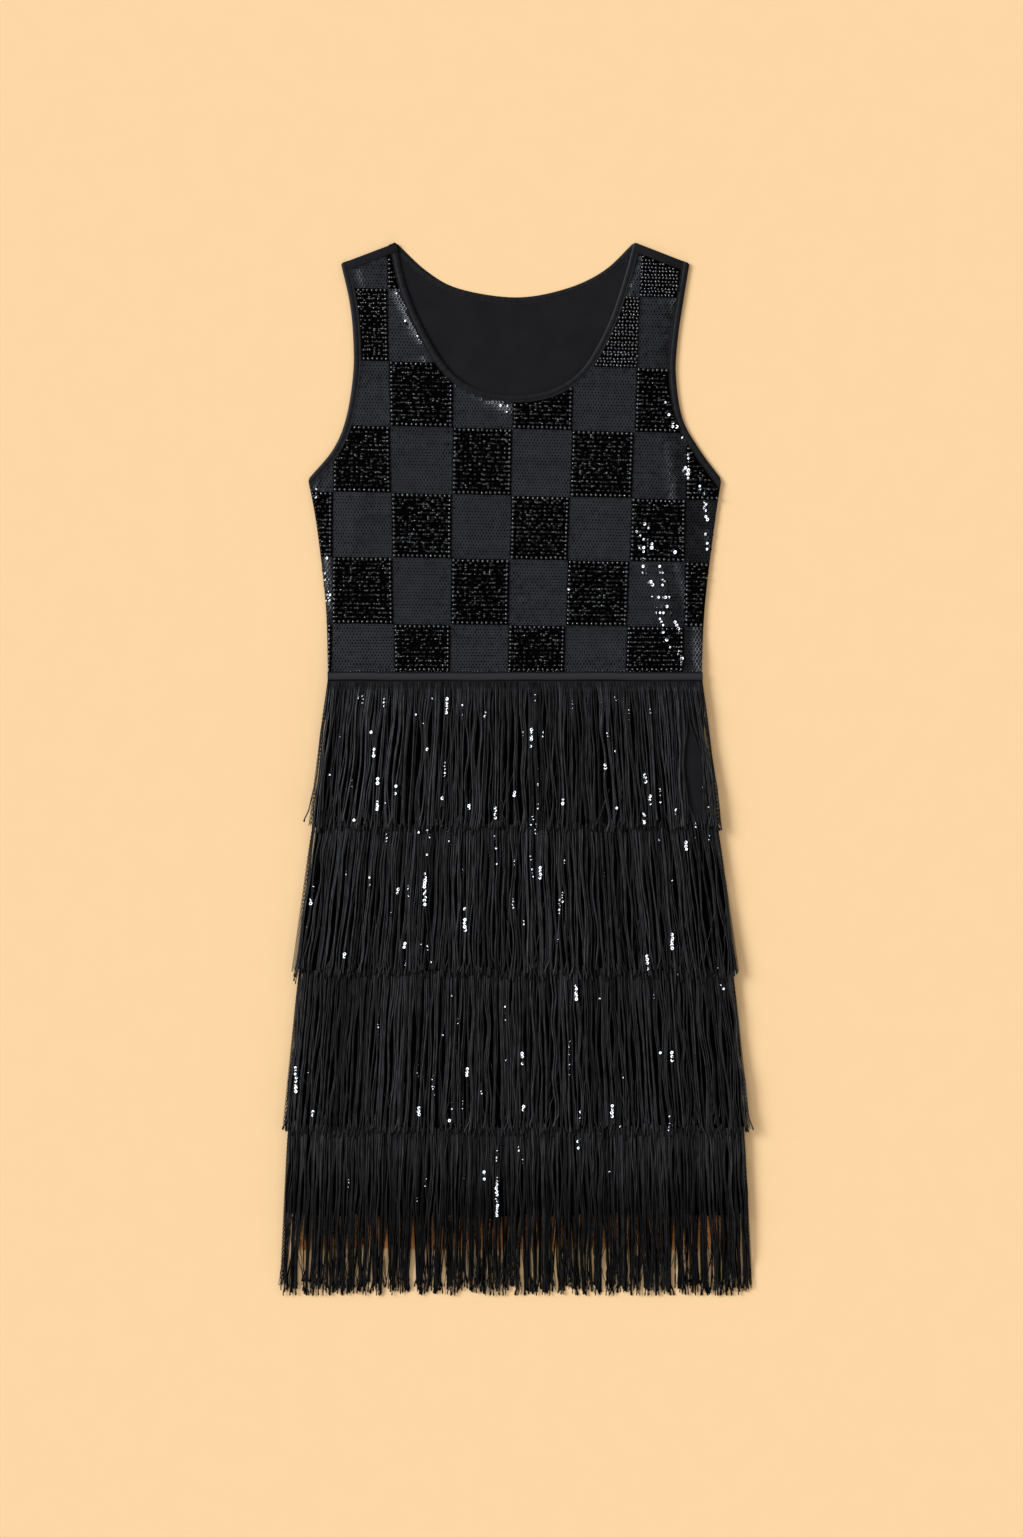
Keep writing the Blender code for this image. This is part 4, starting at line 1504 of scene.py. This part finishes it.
# --- Skirt ---
@dataclass
class WaistTape:
    """Grosgrain ribbon over the waist seam, ribbed across, with dull selvedges, front and back, whose dark
    finish also paints the shade along its edges.
    """

    rib: float = 1.6
    depth: float = 0.06
    selvedge: float = 1.25
    bevel: float = 0.4

    def tape(self, side: str, steps_a_rib: int) -> Piece:
        """One tape, which sways a little over the seam.

        Args:
            side: Front or back.
            steps_a_rib: How finely its ribs are drawn.

        Returns:
            The tape.
        """
        node = f"{side}_waist_tape"
        low, high = (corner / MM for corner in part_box(node))
        middle = (low.y + high.y) / 2
        half = (high.y - low.y) / 2
        steps = int((high.x - low.x) / (self.rib / steps_a_rib))
        route = []
        for i in range(steps + 1):
            x = mix(low.x, high.x, i / steps)
            ridge = self.depth * math.sin(2 * math.pi * x / self.rib)
            sway = 0.35 * math.sin(x / 37.0) + 0.2 * math.sin(x / 13.0 + 1.0)
            route.append((x, middle + sway, low.z + ridge, 1.0))
        thick = high.z - low.z
        inner = half - self.selvedge
        profile = [(-half, 0.1), (half, 0.1), (half, thick - 0.9), (inner, thick - 0.3),
                   (inner - self.bevel, thick), (-inner + self.bevel, thick), (-inner, thick - 0.3),
                   (-half, thick - 0.9)]
        tape = sweep(f"{side}_waist_ribbon", [route], profile)
        store(tape, "along", [0.0] * len(tape.data.vertices))
        # The selvedges take the dark jersey: a duller weave, and painted shade along both edges.
        for face in tape.data.polygons:
            face.material_index = int(abs(face.center.y / MM - middle) > inner - 0.1)
        return fit(tape, "binding", Finishes.GROSGRAIN, Finishes.JERSEY, nodes=(node,))

    def build(self) -> list[Piece]:
        """Both tapes, the hidden one more coarsely."""
        return [self.tape("front", 4), self.tape("back", 1)]


@dataclass
class Slip:
    """The plain slip under the fringe, front and back, with soft folds and a slightly wavy hem."""

    cell: float = 12.0
    tuck: float = 6.0
    tuck_from: float = WAIST - 15.0
    wave: float = 0.12
    hem_wave: float = 0.9
    hem_from: float = -400.0
    ease_over: float = 60.0
    sharpest_fold: float = 40.0

    def fold(self, x: float, y: float) -> float:
        """Height of the soft folds at a place."""
        return self.wave * (math.sin(x / 17.0 + y / 140.0) + 0.6 * math.sin(x / 41.0 - y / 90.0 + 1.3))

    def panel(self, side: str) -> Piece:
        """One panel, its sides drawn in a little under the fringe.

        Args:
            side: Front or back.

        Returns:
            The panel.
        """
        piece = copy_of_node(f"{side}_slip", f"{side}_slip_cloth")
        cut_into_cells(piece, self.cell)
        for vertex in piece.data.vertices:
            x, y = vertex.co.x / MM, vertex.co.y / MM
            drawn = self.tuck * ease((self.tuck_from - y) / self.ease_over)
            half = read_rows(SLIP_SIDE, y, "left")
            vertex.co.x = x * (half - drawn) / half * MM
            vertex.co.z += self.fold(x, y) * MM
            waved = self.hem_wave * math.sin(x / 31.0) * ease((self.hem_from - y) / self.ease_over)
            vertex.co.y += waved * MM
        smooth(piece, self.sharpest_fold)
        return piece

    def build(self) -> list[Piece]:
        """Both panels, the back one sheer."""
        return [fit(self.panel(side), "plain_cloth", finish, nodes=(f"{side}_slip",))
                for side, finish in (("front", Finishes.JERSEY), ("back", Finishes.SHEER))]


@dataclass(frozen=True)
class Rise:
    """Height of a tier's underside at one place along it."""

    y: float
    z: float


@dataclass(frozen=True)
class Parting:
    """A gap that opens downwards: strands are pushed away from its middle line, to both sides."""

    x: float
    start: float
    end: float
    to_right: float
    to_left: float
    reach: float = 12.0

    def push(self, x: float, y: float, side: int) -> float:
        """How far a strand is moved.

        Args:
            x, y: Where the strand is.
            side: -1 or +1, for the side of the gap on which its end hangs.

        Returns:
            The move in X.
        """
        aside = side * (x - self.x)
        if aside >= self.reach:
            return 0.0
        opened = ease((self.start - y) / (self.start - self.end))
        edge = self.to_right if side < 0 else self.to_left
        return side * opened * (mix(edge, self.reach, max(aside, 0.0) / self.reach) - aside)


@dataclass(frozen=True)
class Sway:
    """A wave of a strand to both sides, which grows from the heading down, as fast as its onset says."""

    size: float
    phase: float
    length: float
    onset: float

    def at(self, y: float, t: float) -> float:
        """How far the strand is to the side at y, a share t of its way down."""
        return self.size * ease(t * self.onset) * math.sin(y / self.length + self.phase)


@dataclass
class Bundle:
    """Neighbouring strands that cling together: where, how much, their sway, their depth and their length."""

    middle: float
    pull: float
    sway: Sway
    depth: float
    length: float

    @classmethod
    def by_chance(cls, middle: float, dice: Dice) -> "Bundle":
        """A bundle at a share of the heading.

        Args:
            middle: The share.
            dice: Source of chance.

        Returns:
            The bundle.
        """
        pull, size = dice.uniform(0.05, 0.75), dice.uniform(0.2, 1.5)
        sway = Sway(size, length=dice.uniform(8, 26), phase=dice.uniform(*ANY_TURN), onset=4)
        bundle = cls(middle, pull, sway, depth=dice.random() ** 1.4, length=dice.uniform(-1, 1))
        # A spare draw, which keeps the strands that follow where they hang.
        dice.random()
        return bundle


@dataclass
class Tier:
    """One tier of fringe: its heading and its strands, which hang side by side and cross here and there."""

    node: str
    heading: float
    rises: tuple[Rise, ...]
    end: float
    end_right: float
    end_left: float
    uneven: float
    strands: int
    seed: int
    joints: int = 13
    header_width: float = 8.0
    header_thickness: float = 0.7
    header_rib: float = 1.2
    strand_width: float = 1.45
    strand_height: float = 1.0
    sides: int = 6
    fluff: float = 1.0
    depth: float = 1.1
    partings: tuple[Parting, ...] = ()
    locks: int = 130
    locks_end: float | None = None
    locks_to: float = 0.99
    tangle: float = 0.15
    hooked: float = 0.3
    twist: float = 1.3
    plait: float = 0.8
    extra_plaits: tuple[float, ...] = ()
    tip_tone: float = 1.0
    tip_from: float = -430.0
    tip_width: float = 1.0
    thin_from: float = -440.0
    fade: float = 50.0
    settle: float = 0.35
    loose: int = 45

    # The joints of a strand's hooked end: how far from the tip, its share of the hook and its thickness.
    tip_joints = ((12.0, 0.0, 1.0), (7.5, 0.45, 1.0), (3.6, 0.9, 1.0), (1.2, 1.0, 1.45), (0.0, 0.85, 0.9))

    def underside(self, y: float) -> float:
        """Height of what the strands lie on."""
        return read_rows(self.rises, y, "z")

    def edges(self, inset: float) -> Pair:
        """X of the heading's right and left end, drawn in by an inset."""
        return (read_rows(SLIP_SIDE, self.heading, "right") + inset,
                read_rows(SLIP_SIDE, self.heading, "left") - inset)

    def across(self, share: float, t: float) -> float:
        """X at a share of the width, from 0 on the right to 1 on the left, and a share of the way down."""
        return mix(mix(*self.edges(0.6), share), mix(self.end_right + 1, self.end_left - 1, share), t)

    def route(self, share: float, bundle: Bundle, lift: float, dice: Dice) -> Route:
        """One strand from the heading to its loose end.

        Args:
            share: Its place along the heading, from 0 on the right to 1 on the left.
            bundle: The strands that it clings to.
            lift: How high it lies on the others, in millimetres.
            dice: Source of chance.

        Returns:
            x, y, z and thickness at each joint.
        """
        top = self.heading - 0.6
        end_y = self.end + (dice.gauss(0, 0.75) + bundle.length * 0.5) * self.uneven
        end_y = max(end_y, -HALF_LENGTH + 0.9)
        stray = dice.gauss(0, 3.5) if dice.random() < self.tangle else 0.0
        drift = Sway(abs(dice.gauss(0, 0.6)), dice.uniform(*ANY_TURN), dice.uniform(10, 26), 5)
        ripple = Sway(dice.uniform(0.0, 0.3), dice.uniform(*ANY_TURN), dice.uniform(3, 7), 9)
        if dice.random() < self.hooked:
            hook = dice.choice((-1, 1)) * dice.uniform(1.0, 4.2)
        else:
            hook = dice.gauss(0, 0.4)
        thick = dice.uniform(0.72, 1.25)
        run = top - end_y
        straight = 1 - self.tip_joints[0][0] / run
        joints = [(k / self.joints * straight, 0.0, 1.0) for k in range(self.joints)]
        joints += [(1 - left / run, hooked, knob) for left, hooked, knob in self.tip_joints]
        end_x = self.across(share, 1.0)
        sides = [(parting, -1 if end_x < parting.x else 1) for parting in self.partings]
        line = []
        for t, hooked, knob in joints:
            y = mix(top, end_y, t)
            x = self.across(share, t)
            x += bundle.pull * ease(t * 2) * (self.across(bundle.middle, t) - x)
            for sway in (bundle.sway, drift, ripple):
                x += sway.at(y, t)
            x += sum(parting.push(x, y, side) for parting, side in sides)
            x += stray * t ** 3 + hook * hooked
            z = self.underside(y) + self.strand_height * 0.5 + lift * ease(t * 8) * (1 - self.settle * t ** 6)
            thin = mix(1.0, self.tip_width, ease((self.thin_from - y) / self.fade))
            line.append((x, y, z, thick * thin * knob))
        return line

    def loose_end(self, dice: Dice) -> Route:
        """One thin strand that has worked loose near the tips: it wanders, and may loop back up.

        Args:
            dice: Source of chance.

        Returns:
            x, y, z and thickness at each joint.
        """
        x = self.across(dice.uniform(0.012, 0.988), 0.9)
        top = self.end + dice.uniform(22, 80)
        low = max(self.end + dice.gauss(2.5, 2.5), -HALF_LENGTH + 1.5)
        lean = dice.gauss(0, 0.16)
        line = []
        for k in range(11):
            y = mix(top, low, k / 10)
            z = self.underside(y) + self.strand_height * 0.5 + self.fluff * 0.75
            line.append((x + lean * (top - y) + dice.gauss(0, 0.45), y, z, 0.55))
        if dice.random() < 0.4:
            end_x, end_y, z, thick = line[-1]
            side = dice.choice((-1, 1)) * dice.uniform(0.8, 1.6)
            loop = ((0.8, 0.2), (1.7, 2.2), (2.0, 8.0))
            line += [(end_x + side * across, end_y + up, z, thick) for across, up in loop]
        return line

    def plaited(self, share: float, phase: float, wide: float) -> Route:
        """One strand of those that twist loosely round one another down the tier's edge.

        Args:
            share: Where it hangs along the heading.
            phase: Its turn in the twist.
            wide: How far it swings to each side.

        Returns:
            x, y, z and thickness at each joint.
        """
        line = []
        for k in range(141):
            t = k / 140
            y = mix(self.heading - 0.6, self.end + 3, t)
            x = self.across(share, t) + wide * ease(t * 4) * math.sin(y / self.twist + phase)
            line.append((x, y, self.underside(y) + 0.9 + 0.4 * math.cos(y / self.twist + phase), 0.5))
        return line

    def shade(self, y: float) -> float:
        """How much of a strand's tone shows: a painted shade just below the heading, where what hangs above
        shades it, and less towards the hem.
        """
        # Painted shade below the heading, under the tape or the tier above.
        hidden = mix(0.7, 1.0, ease((self.heading - 6 - y) / 14.0))
        return hidden * mix(1.0, self.tip_tone, ease((self.tip_from - y) / self.fade))

    def header(self) -> Piece:
        """The ribbon that the strands are sewn to, ribbed across.

        Returns:
            The ribbon.
        """
        right, left = self.edges(0.5)
        steps = int((left - right) / self.header_rib)
        route = [(mix(right, left, i / steps), self.heading - self.header_width / 2 - 0.3,
                  self.underside(self.heading) + 0.05 * (i % 2), 1.0) for i in range(steps + 1)]
        half, thick = self.header_width / 2, self.header_thickness
        profile = [(-half, 0.0), (half, 0.0), (half, thick), (0.0, thick * 1.1), (-half, thick)]
        ribbon = sweep(self.node + "_header", [route], profile)
        store(ribbon, "along", [0.0] * len(ribbon.data.vertices))
        return fit(ribbon, "fringe", Finishes.GROSGRAIN)

    def all_strands(self, dice: Dice) -> tuple[list[Route], list[float]]:
        """Lay out the strands, the plaits at the tier's edges and the loose ends.

        Args:
            dice: Source of chance.

        Returns:
            The route and the tone of each.
        """
        edges = [0.0]
        while edges[-1] < 1.0:
            edges.append(edges[-1] + dice.uniform(1.6, 6.0) / self.strands)
        bundles = [Bundle.by_chance((low + high) / 2, dice) for low, high in zip(edges, edges[1:])]
        routes, tones = [], []
        for i in range(self.strands):
            share = (i + dice.uniform(0.2, 0.8)) / self.strands
            bundle = min(bundles, key=lambda near: abs(near.middle - share))
            height = dice.random()
            routes.append(self.route(share, bundle, height * self.fluff + bundle.depth * self.depth, dice))
            # Strands that lie deep in the fringe get less light than the top ones, so their tone is darkened
            # as a painted shade.
            tones.append((0.35 + 0.65 * height) * (0.55 + 0.45 * bundle.depth) * dice.uniform(0.65, 1.0))
        for share in (-0.001, 1.001):
            routes += [self.plaited(share, phase, self.plait) for phase in (0.0, math.pi)]
            tones += [0.3, 0.3]
        routes += [self.plaited(0.997, phase, 2 * self.plait) for phase in self.extra_plaits]
        tones += [0.6] * len(self.extra_plaits)
        own = random.Random(self.seed + 1)
        for _ in range(self.loose):
            routes.append(self.loose_end(own))
            tones.append(own.uniform(0.1, 0.7))
        return routes, tones

    def build(self) -> list[Piece]:
        """Make and dress the tier.

        Returns:
            The strands, the ribbon that they are sewn to and, in front, the locks that lie under them.
        """
        dice = random.Random(self.seed)
        routes, tones = self.all_strands(dice)
        half, tall = self.strand_width / 2, self.strand_height / 2
        around = [math.pi * (k / 3 + 1 / 6) for k in range(self.sides)]
        profile = [(half * math.cos(a), tall * math.sin(a)) for a in around]
        strands = sweep(self.node + "_strands", routes, profile)
        store(strands, "tone", [tone * self.shade(y) for route, tone in zip(routes, tones)
                                for _, y, *_ in route for _ in range(self.sides)])
        alone(strands)
        bpy.ops.object.shade_smooth()
        made = [fit(strands, "fringe", Finishes.RAYON, nodes=(self.node,)), self.header()]
        return made + ([self.bottom_locks(dice)] if self.locks else [])

    def bottom_locks(self, dice: Dice) -> Piece:
        """Flat locks of the strands at the bottom, black as a painted shade that fills the gaps between the
        ones on top.

        Args:
            dice: Source of chance.

        Returns:
            The locks.
        """
        stop = self.end + 6 if self.locks_end is None else self.locks_end
        routes = []
        for i in range(self.locks):
            share = mix(0.012, self.locks_to, (i + 0.5) / self.locks)
            foot = stop + dice.uniform(-2.5, 2.5)
            routes.append([(self.across(share, t), mix(self.heading - 0.4, foot, t),
                            self.underside(mix(self.heading, foot, t)) + 0.2, 1.0)
                           for t in [k / 6 for k in range(7)]])
        wide = 0.8 * (self.end_left - self.end_right) / self.locks
        profile = [(-wide, 0.0), (wide, 0.0), (wide * 0.5, 0.35), (-wide * 0.5, 0.35)]
        locks = sweep(self.node + "_locks", routes, profile)
        # Tone 0 makes the locks black, painted shade between the strands on top.
        store(locks, "tone", [0.0] * len(locks.data.vertices))
        return fit(locks, "fringe", Finishes.RAYON)


@dataclass
class BackTier(Tier):
    """A tier of the back: fewer and plainer strands, pressed flat under the dress, without locks."""

    joints: int = 5
    strand_height: float = 0.8
    fluff: float = 0.2
    depth: float = 0.2
    locks: int = 0
    tangle: float = 0.1
    tip_tone: float = 0.3
    loose: int = 0


@dataclass(frozen=True)
class Run:
    """A short run of cup sequins on a strand: where it starts and how many there are."""

    x: float
    y: float
    count: int


@dataclass
class Skirt:
    """Eight tiers of fringe, their headings and the sequins strung on them.

    The row of a tier holds Y where it leaves its heading's level, Y where it comes down on what is below, its
    end's Y, right and left, how uneven its tips are and its number of strands.
    """

    tape: float = 6.9
    tips: float = 8.4
    back_tape: float = 1.8
    back_tips: float = 0.3
    front_slip: float = 5.1
    under_slip: float = 2.3
    hem_tips: float = 1.8
    headings: tuple[float, ...] = (WAIST - WAIST_TAPE / 2 - SEAM_GAP, -45.0, -190.0, -345.0)
    front_rows: tuple[tuple, ...] = (
        (15.0, -42.0, -59.0, -207.0, 204.5, 4.0, 280), (-120.0, -187.0, -205.0, -224.0, 222.5, 4.5, 305),
        (-270.0, -342.0, -362.0, -233.0, 234.0, 4.5, 330), (-443.0, -482.5, -521.5, -236.0, 236.0, 4.8, 440))
    back_rows: tuple[tuple, ...] = (
        (40.0, -20.0, -58.0, -206.0, 203.5, 3.0, 215), (-70.0, -110.0, -204.0, -222.0, 221.0, 4.0, 230),
        (-216.0, -256.0, -361.0, -232.0, 232.5, 4.0, 240), (-373.0, -413.0, -518.5, -235.0, 235.0, 6.0, 330))
    hem_partings: tuple[Parting, ...] = rows_of(
        Parting, (-216, -428, -505, 3.5, 3.5, 7), (-192, -482, -520, 1.5, 1.5, 6),
        (-160, -470, -520, 2.5, 2, 7), (-130, -426, -508, 4, 3.5, 8), (-104, -428, -512, 3.5, 3.5, 8),
        (-84, -426, -446, 1.4, 1.2, 5), (-73, -452, -515, 2, 3.5, 7), (-49, -430, -480, 1.8, 1.8, 6),
        (-37, -490, -520, 1.2, 1.2, 5), (-22, -486, -518, 1.2, 1.2, 6), (-7, -430, -456, 1, 1, 5),
        (5, -452, -510, 2.5, 3, 6), (41, -428, -512, 3.5, 2.5, 8), (52, -490, -520, 1.5, 1, 5),
        (89, -428, -508, 4, 3, 8), (113, -426, -452, 1.7, 1.4, 6), (127, -486, -518, 2, 2, 6),
        (145, -484, -516, 1.2, 1.2, 5), (158, -426, -506, 2.5, 4.5, 8), (184, -430, -458, 1, 1, 5),
        (195, -428, -508, 3, 4.5, 8), (215, -484, -518, 1.2, 1.2, 5))
    side_parting: Parting = Parting(183, 54, 0, 11, 4.5, 26)
    slit_starts: tuple[float, ...] = (-430, -438, -452, -470, -486)
    sequin: Disc = Disc(radius=1.9, cup=0.15, thickness=0.15, sides=9)
    sequin_pitch: float = 3.4
    sequin_lift: float = 0.8
    faint_runs: int = 150
    runs: tuple[Run, ...] = rows_of(
        Run, (-69, 74, 6), (-73, 44, 2), (-88, 20, 1), (-145, 37, 1), (-142, 20, 3), (-139, 9, 3),
        (-138, -10, 2), (-139, -33, 3), (-120, -17, 3), (-116, -31, 5), (-162, -37, 5), (-74, -25, 3),
        (-47, -36, 4), (-21, -38, 4), (-2, -23, 2), (15, 40, 7), (89, 5, 2), (47, -30, 2), (101, -35, 3),
        (129, -2, 5), (134, -27, 3), (128, -43, 4), (160, -40, 2), (170, -66, 7), (24, -98, 4),
        (-91, -104, 10), (-205, -116, 6), (-118, -120, 2), (129, -100, 5), (-51, -140, 7), (-111, -174, 7),
        (-171, -184, 4), (131, -186, 5), (156, -165, 5), (60, -216, 5), (-129, -256, 5), (-82, -248, 4),
        (-73, -266, 8), (6, -280, 5), (144, -273, 4), (156, -283, 3), (-49, -292, 5), (7, -333, 4),
        (96, -336, 4), (-220, -298, 8), (-203, -342, 2), (-97, -338, 3), (-66, -344, 3), (62, -372, 4),
        (-32, -402, 3), (-19, -408, 12))

    def tiers(self) -> list[Tier]:
        """The tiers of both sides, with the rise of each over the one below it.

        Returns:
            The four of the front and the four of the back, from the waist down.
        """
        hem = self.hem_partings + self.slits(random.Random(3))
        front_ways = (
            {"partings": (self.side_parting,), "locks_to": 0.9, "extra_plaits": (0.8, 2.4, 4.0)}, {}, {},
            {"partings": hem, "locks_end": -444.5, "tangle": 0.3, "loose": 120, "settle": 0.7,
             "tip_tone": 0.5, "tip_from": -385.0, "tip_width": 0.7})
        back_ways = ({}, {}, {}, {"partings": hem, "joints": 8, "strand_width": 1.7})
        tiers = []
        for kind, side, seed, rows, ways, tape, tips in (
                (Tier, "front", 11, self.front_rows, front_ways, self.tape, self.tips),
                (BackTier, "back", 31, self.back_rows, back_ways, self.back_tape, self.back_tips)):
            for i, (heading, (bend, turn, end, *rest), way) in enumerate(zip(self.headings, rows, ways)):
                rises = rows_of(Rise, (heading, tape), (bend, tape), (turn, tips), (end, tips))
                if side == "front" and heading == self.headings[-1]:
                    rises = rises[:2] + rows_of(Rise, (turn, self.front_slip), (turn - 14, self.under_slip),
                                                (end, self.hem_tips))
                tiers.append(kind(f"{side}_fringe_{i + 1}", heading, rises, end, *rest, seed + i, **way))
        return tiers

    def slits(self, dice: Dice) -> tuple[Parting, ...]:
        """Narrow gaps between the locks of the hem, one every centimetre or so.

        Args:
            dice: Source of chance.

        Returns:
            The gaps, clear of the wider ones.
        """
        slits = []
        x = -228.0
        while x < 230:
            if all(abs(x - parting.x) > parting.reach for parting in self.hem_partings):
                wide = dice.uniform(0.4, 1.3)
                start = dice.choice(self.slit_starts)
                slits.append(Parting(x, start, start - dice.uniform(20, 40), wide, wide, 5))
            x += dice.uniform(8.0, 17.0)
        return tuple(slits)

    def sequin_places(self, surface: Surface, dice: Dice) -> Iterator[Place]:
        """The sequins on the strands: the bright runs, and many faint ones by chance.

        Args:
            surface: The strands of the front.
            dice: Source of chance.

        Returns:
            Their places, one by one.
        """
        faint = [Run(dice.uniform(-215, 215), mix(78, -430, dice.random() ** 1.25),
                     dice.choice((1, 2, 2, 3, 4, 5))) for _ in range(self.faint_runs)]
        for runs, sizes, slack in ((self.runs, (0.7, 0.98), 0.068), (faint, (0.32, 0.62), 0.16)):
            for run in runs:
                for i in range(run.count):
                    hit = surface.top(run.x + dice.gauss(0, 0.35),
                                      run.y - self.sequin_pitch * i + dice.gauss(0, 0.3))
                    if hit:
                        yield glinting_at(hit[0] + UP * self.sequin_lift, slack, sizes, dice)

    def build(self) -> list[Piece]:
        """Make and dress every tier, and the sequins on those of the front.

        Returns:
            The strands of the eight tiers, then their ribbons and locks, and the sequins.
        """
        dressed = [tier.build() for tier in self.tiers()]
        made = [pieces[0] for pieces in dressed] + [piece for pieces in dressed for piece in pieces[1:]]
        places = list(self.sequin_places(Surface(*made[:4]), random.Random(5)))
        cup = self.sequin.model()
        made.append(fit(scatter("fringe_cup_sequins", cup, places), "sequins", Finishes.CUP_SEQUIN))
        remove(cup)
        return made


# --- Studio ---
@dataclass
class Studio:
    """Peach paper ground, a soft key light from the upper left, an even fill and a camera straight above."""

    floor_size: float = 6000.0
    key_strength: float = 2.66
    key_width: float = 28.0
    key_colour: tuple[float, float, float] = (0.96, 1.011, 1.097)
    fill: float = 0.53
    fill_colour: tuple[float, float, float] = (1.035, 0.99, 0.915)
    dark_walls: float = 0.07
    lens: float = 85.0
    sensor: float = 36.0
    far: float = 100.0

    def build(self) -> None:
        """Lay the floor, and set the lights and the camera."""
        floor = start_from(bpy.ops.mesh.primitive_plane_add, "paper_ground",
                           size=self.floor_size * MM, location=ORIGIN)
        floor.data.materials.append(Finishes.GROUND.value.material())

        world = bpy.data.worlds.new("studio_fill")
        world.use_nodes = True
        tree = world.node_tree
        background = tree.nodes["Background"]
        background.inputs["Color"].default_value = (*self.fill_colour, 1.0)
        # The fill is bounced off many flats, and what gloss mirrors between them is the dark room.
        ray = add_node(tree, "ShaderNodeLightPath")
        strength = add_node(tree, "ShaderNodeMapRange", inputs={
            "Value": ray.outputs["Is Glossy Ray"], "To Min": self.fill, "To Max": self.dark_walls})
        tree.links.new(strength.outputs[0], background.inputs["Strength"])
        bpy.context.scene.world = world

        key = bpy.data.lights.new("soft_key", "SUN")
        key.energy = self.key_strength
        key.color = self.key_colour
        key.angle = math.radians(self.key_width)
        put_in_scene("soft_key", key).rotation_euler = LIGHT_FROM.to_track_quat("Z", "Y").to_euler()

        camera = bpy.data.cameras.new("straight_above")
        camera.lens = self.lens
        camera.sensor_width = self.sensor
        camera.clip_end = self.far
        viewer = put_in_scene("straight_above", camera)
        viewer.location = CAMERA_AT * MM
        bpy.context.scene.camera = viewer
        bpy.context.scene.view_settings.view_transform = "Standard"


def declare_sheets(front: Piece, back: Piece, beadwork: list[Piece],
                   fringe: list[Piece]) -> None:
    """Turn the beadwork and the tiers into lists, which are not kept.

    Args:
        front: Front panel of the bodice; not used.
        back: Back panel of the bodice; not used.
        beadwork: What is sewn on the front.
        fringe: Tiers, and the sequins on them.
    """
    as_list(beadwork)
    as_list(fringe[:4])
    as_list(fringe[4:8])


def main() -> None:
    """Build the dress and the studio; the face count of each piece is logged."""
    logging.basicConfig(level=logging.INFO, format="%(name)s %(message)s")
    front, back, beadwork = Bodice(Checkerboard()).build()
    bands = Bindings().build() + ShoulderBands().build()
    tapes = WaistTape().build()
    slips = Slip().build()
    fringe = Skirt().build()
    declare_sheets(front, back, beadwork, fringe)
    Studio().build()


if __name__ == "__main__":
    main()
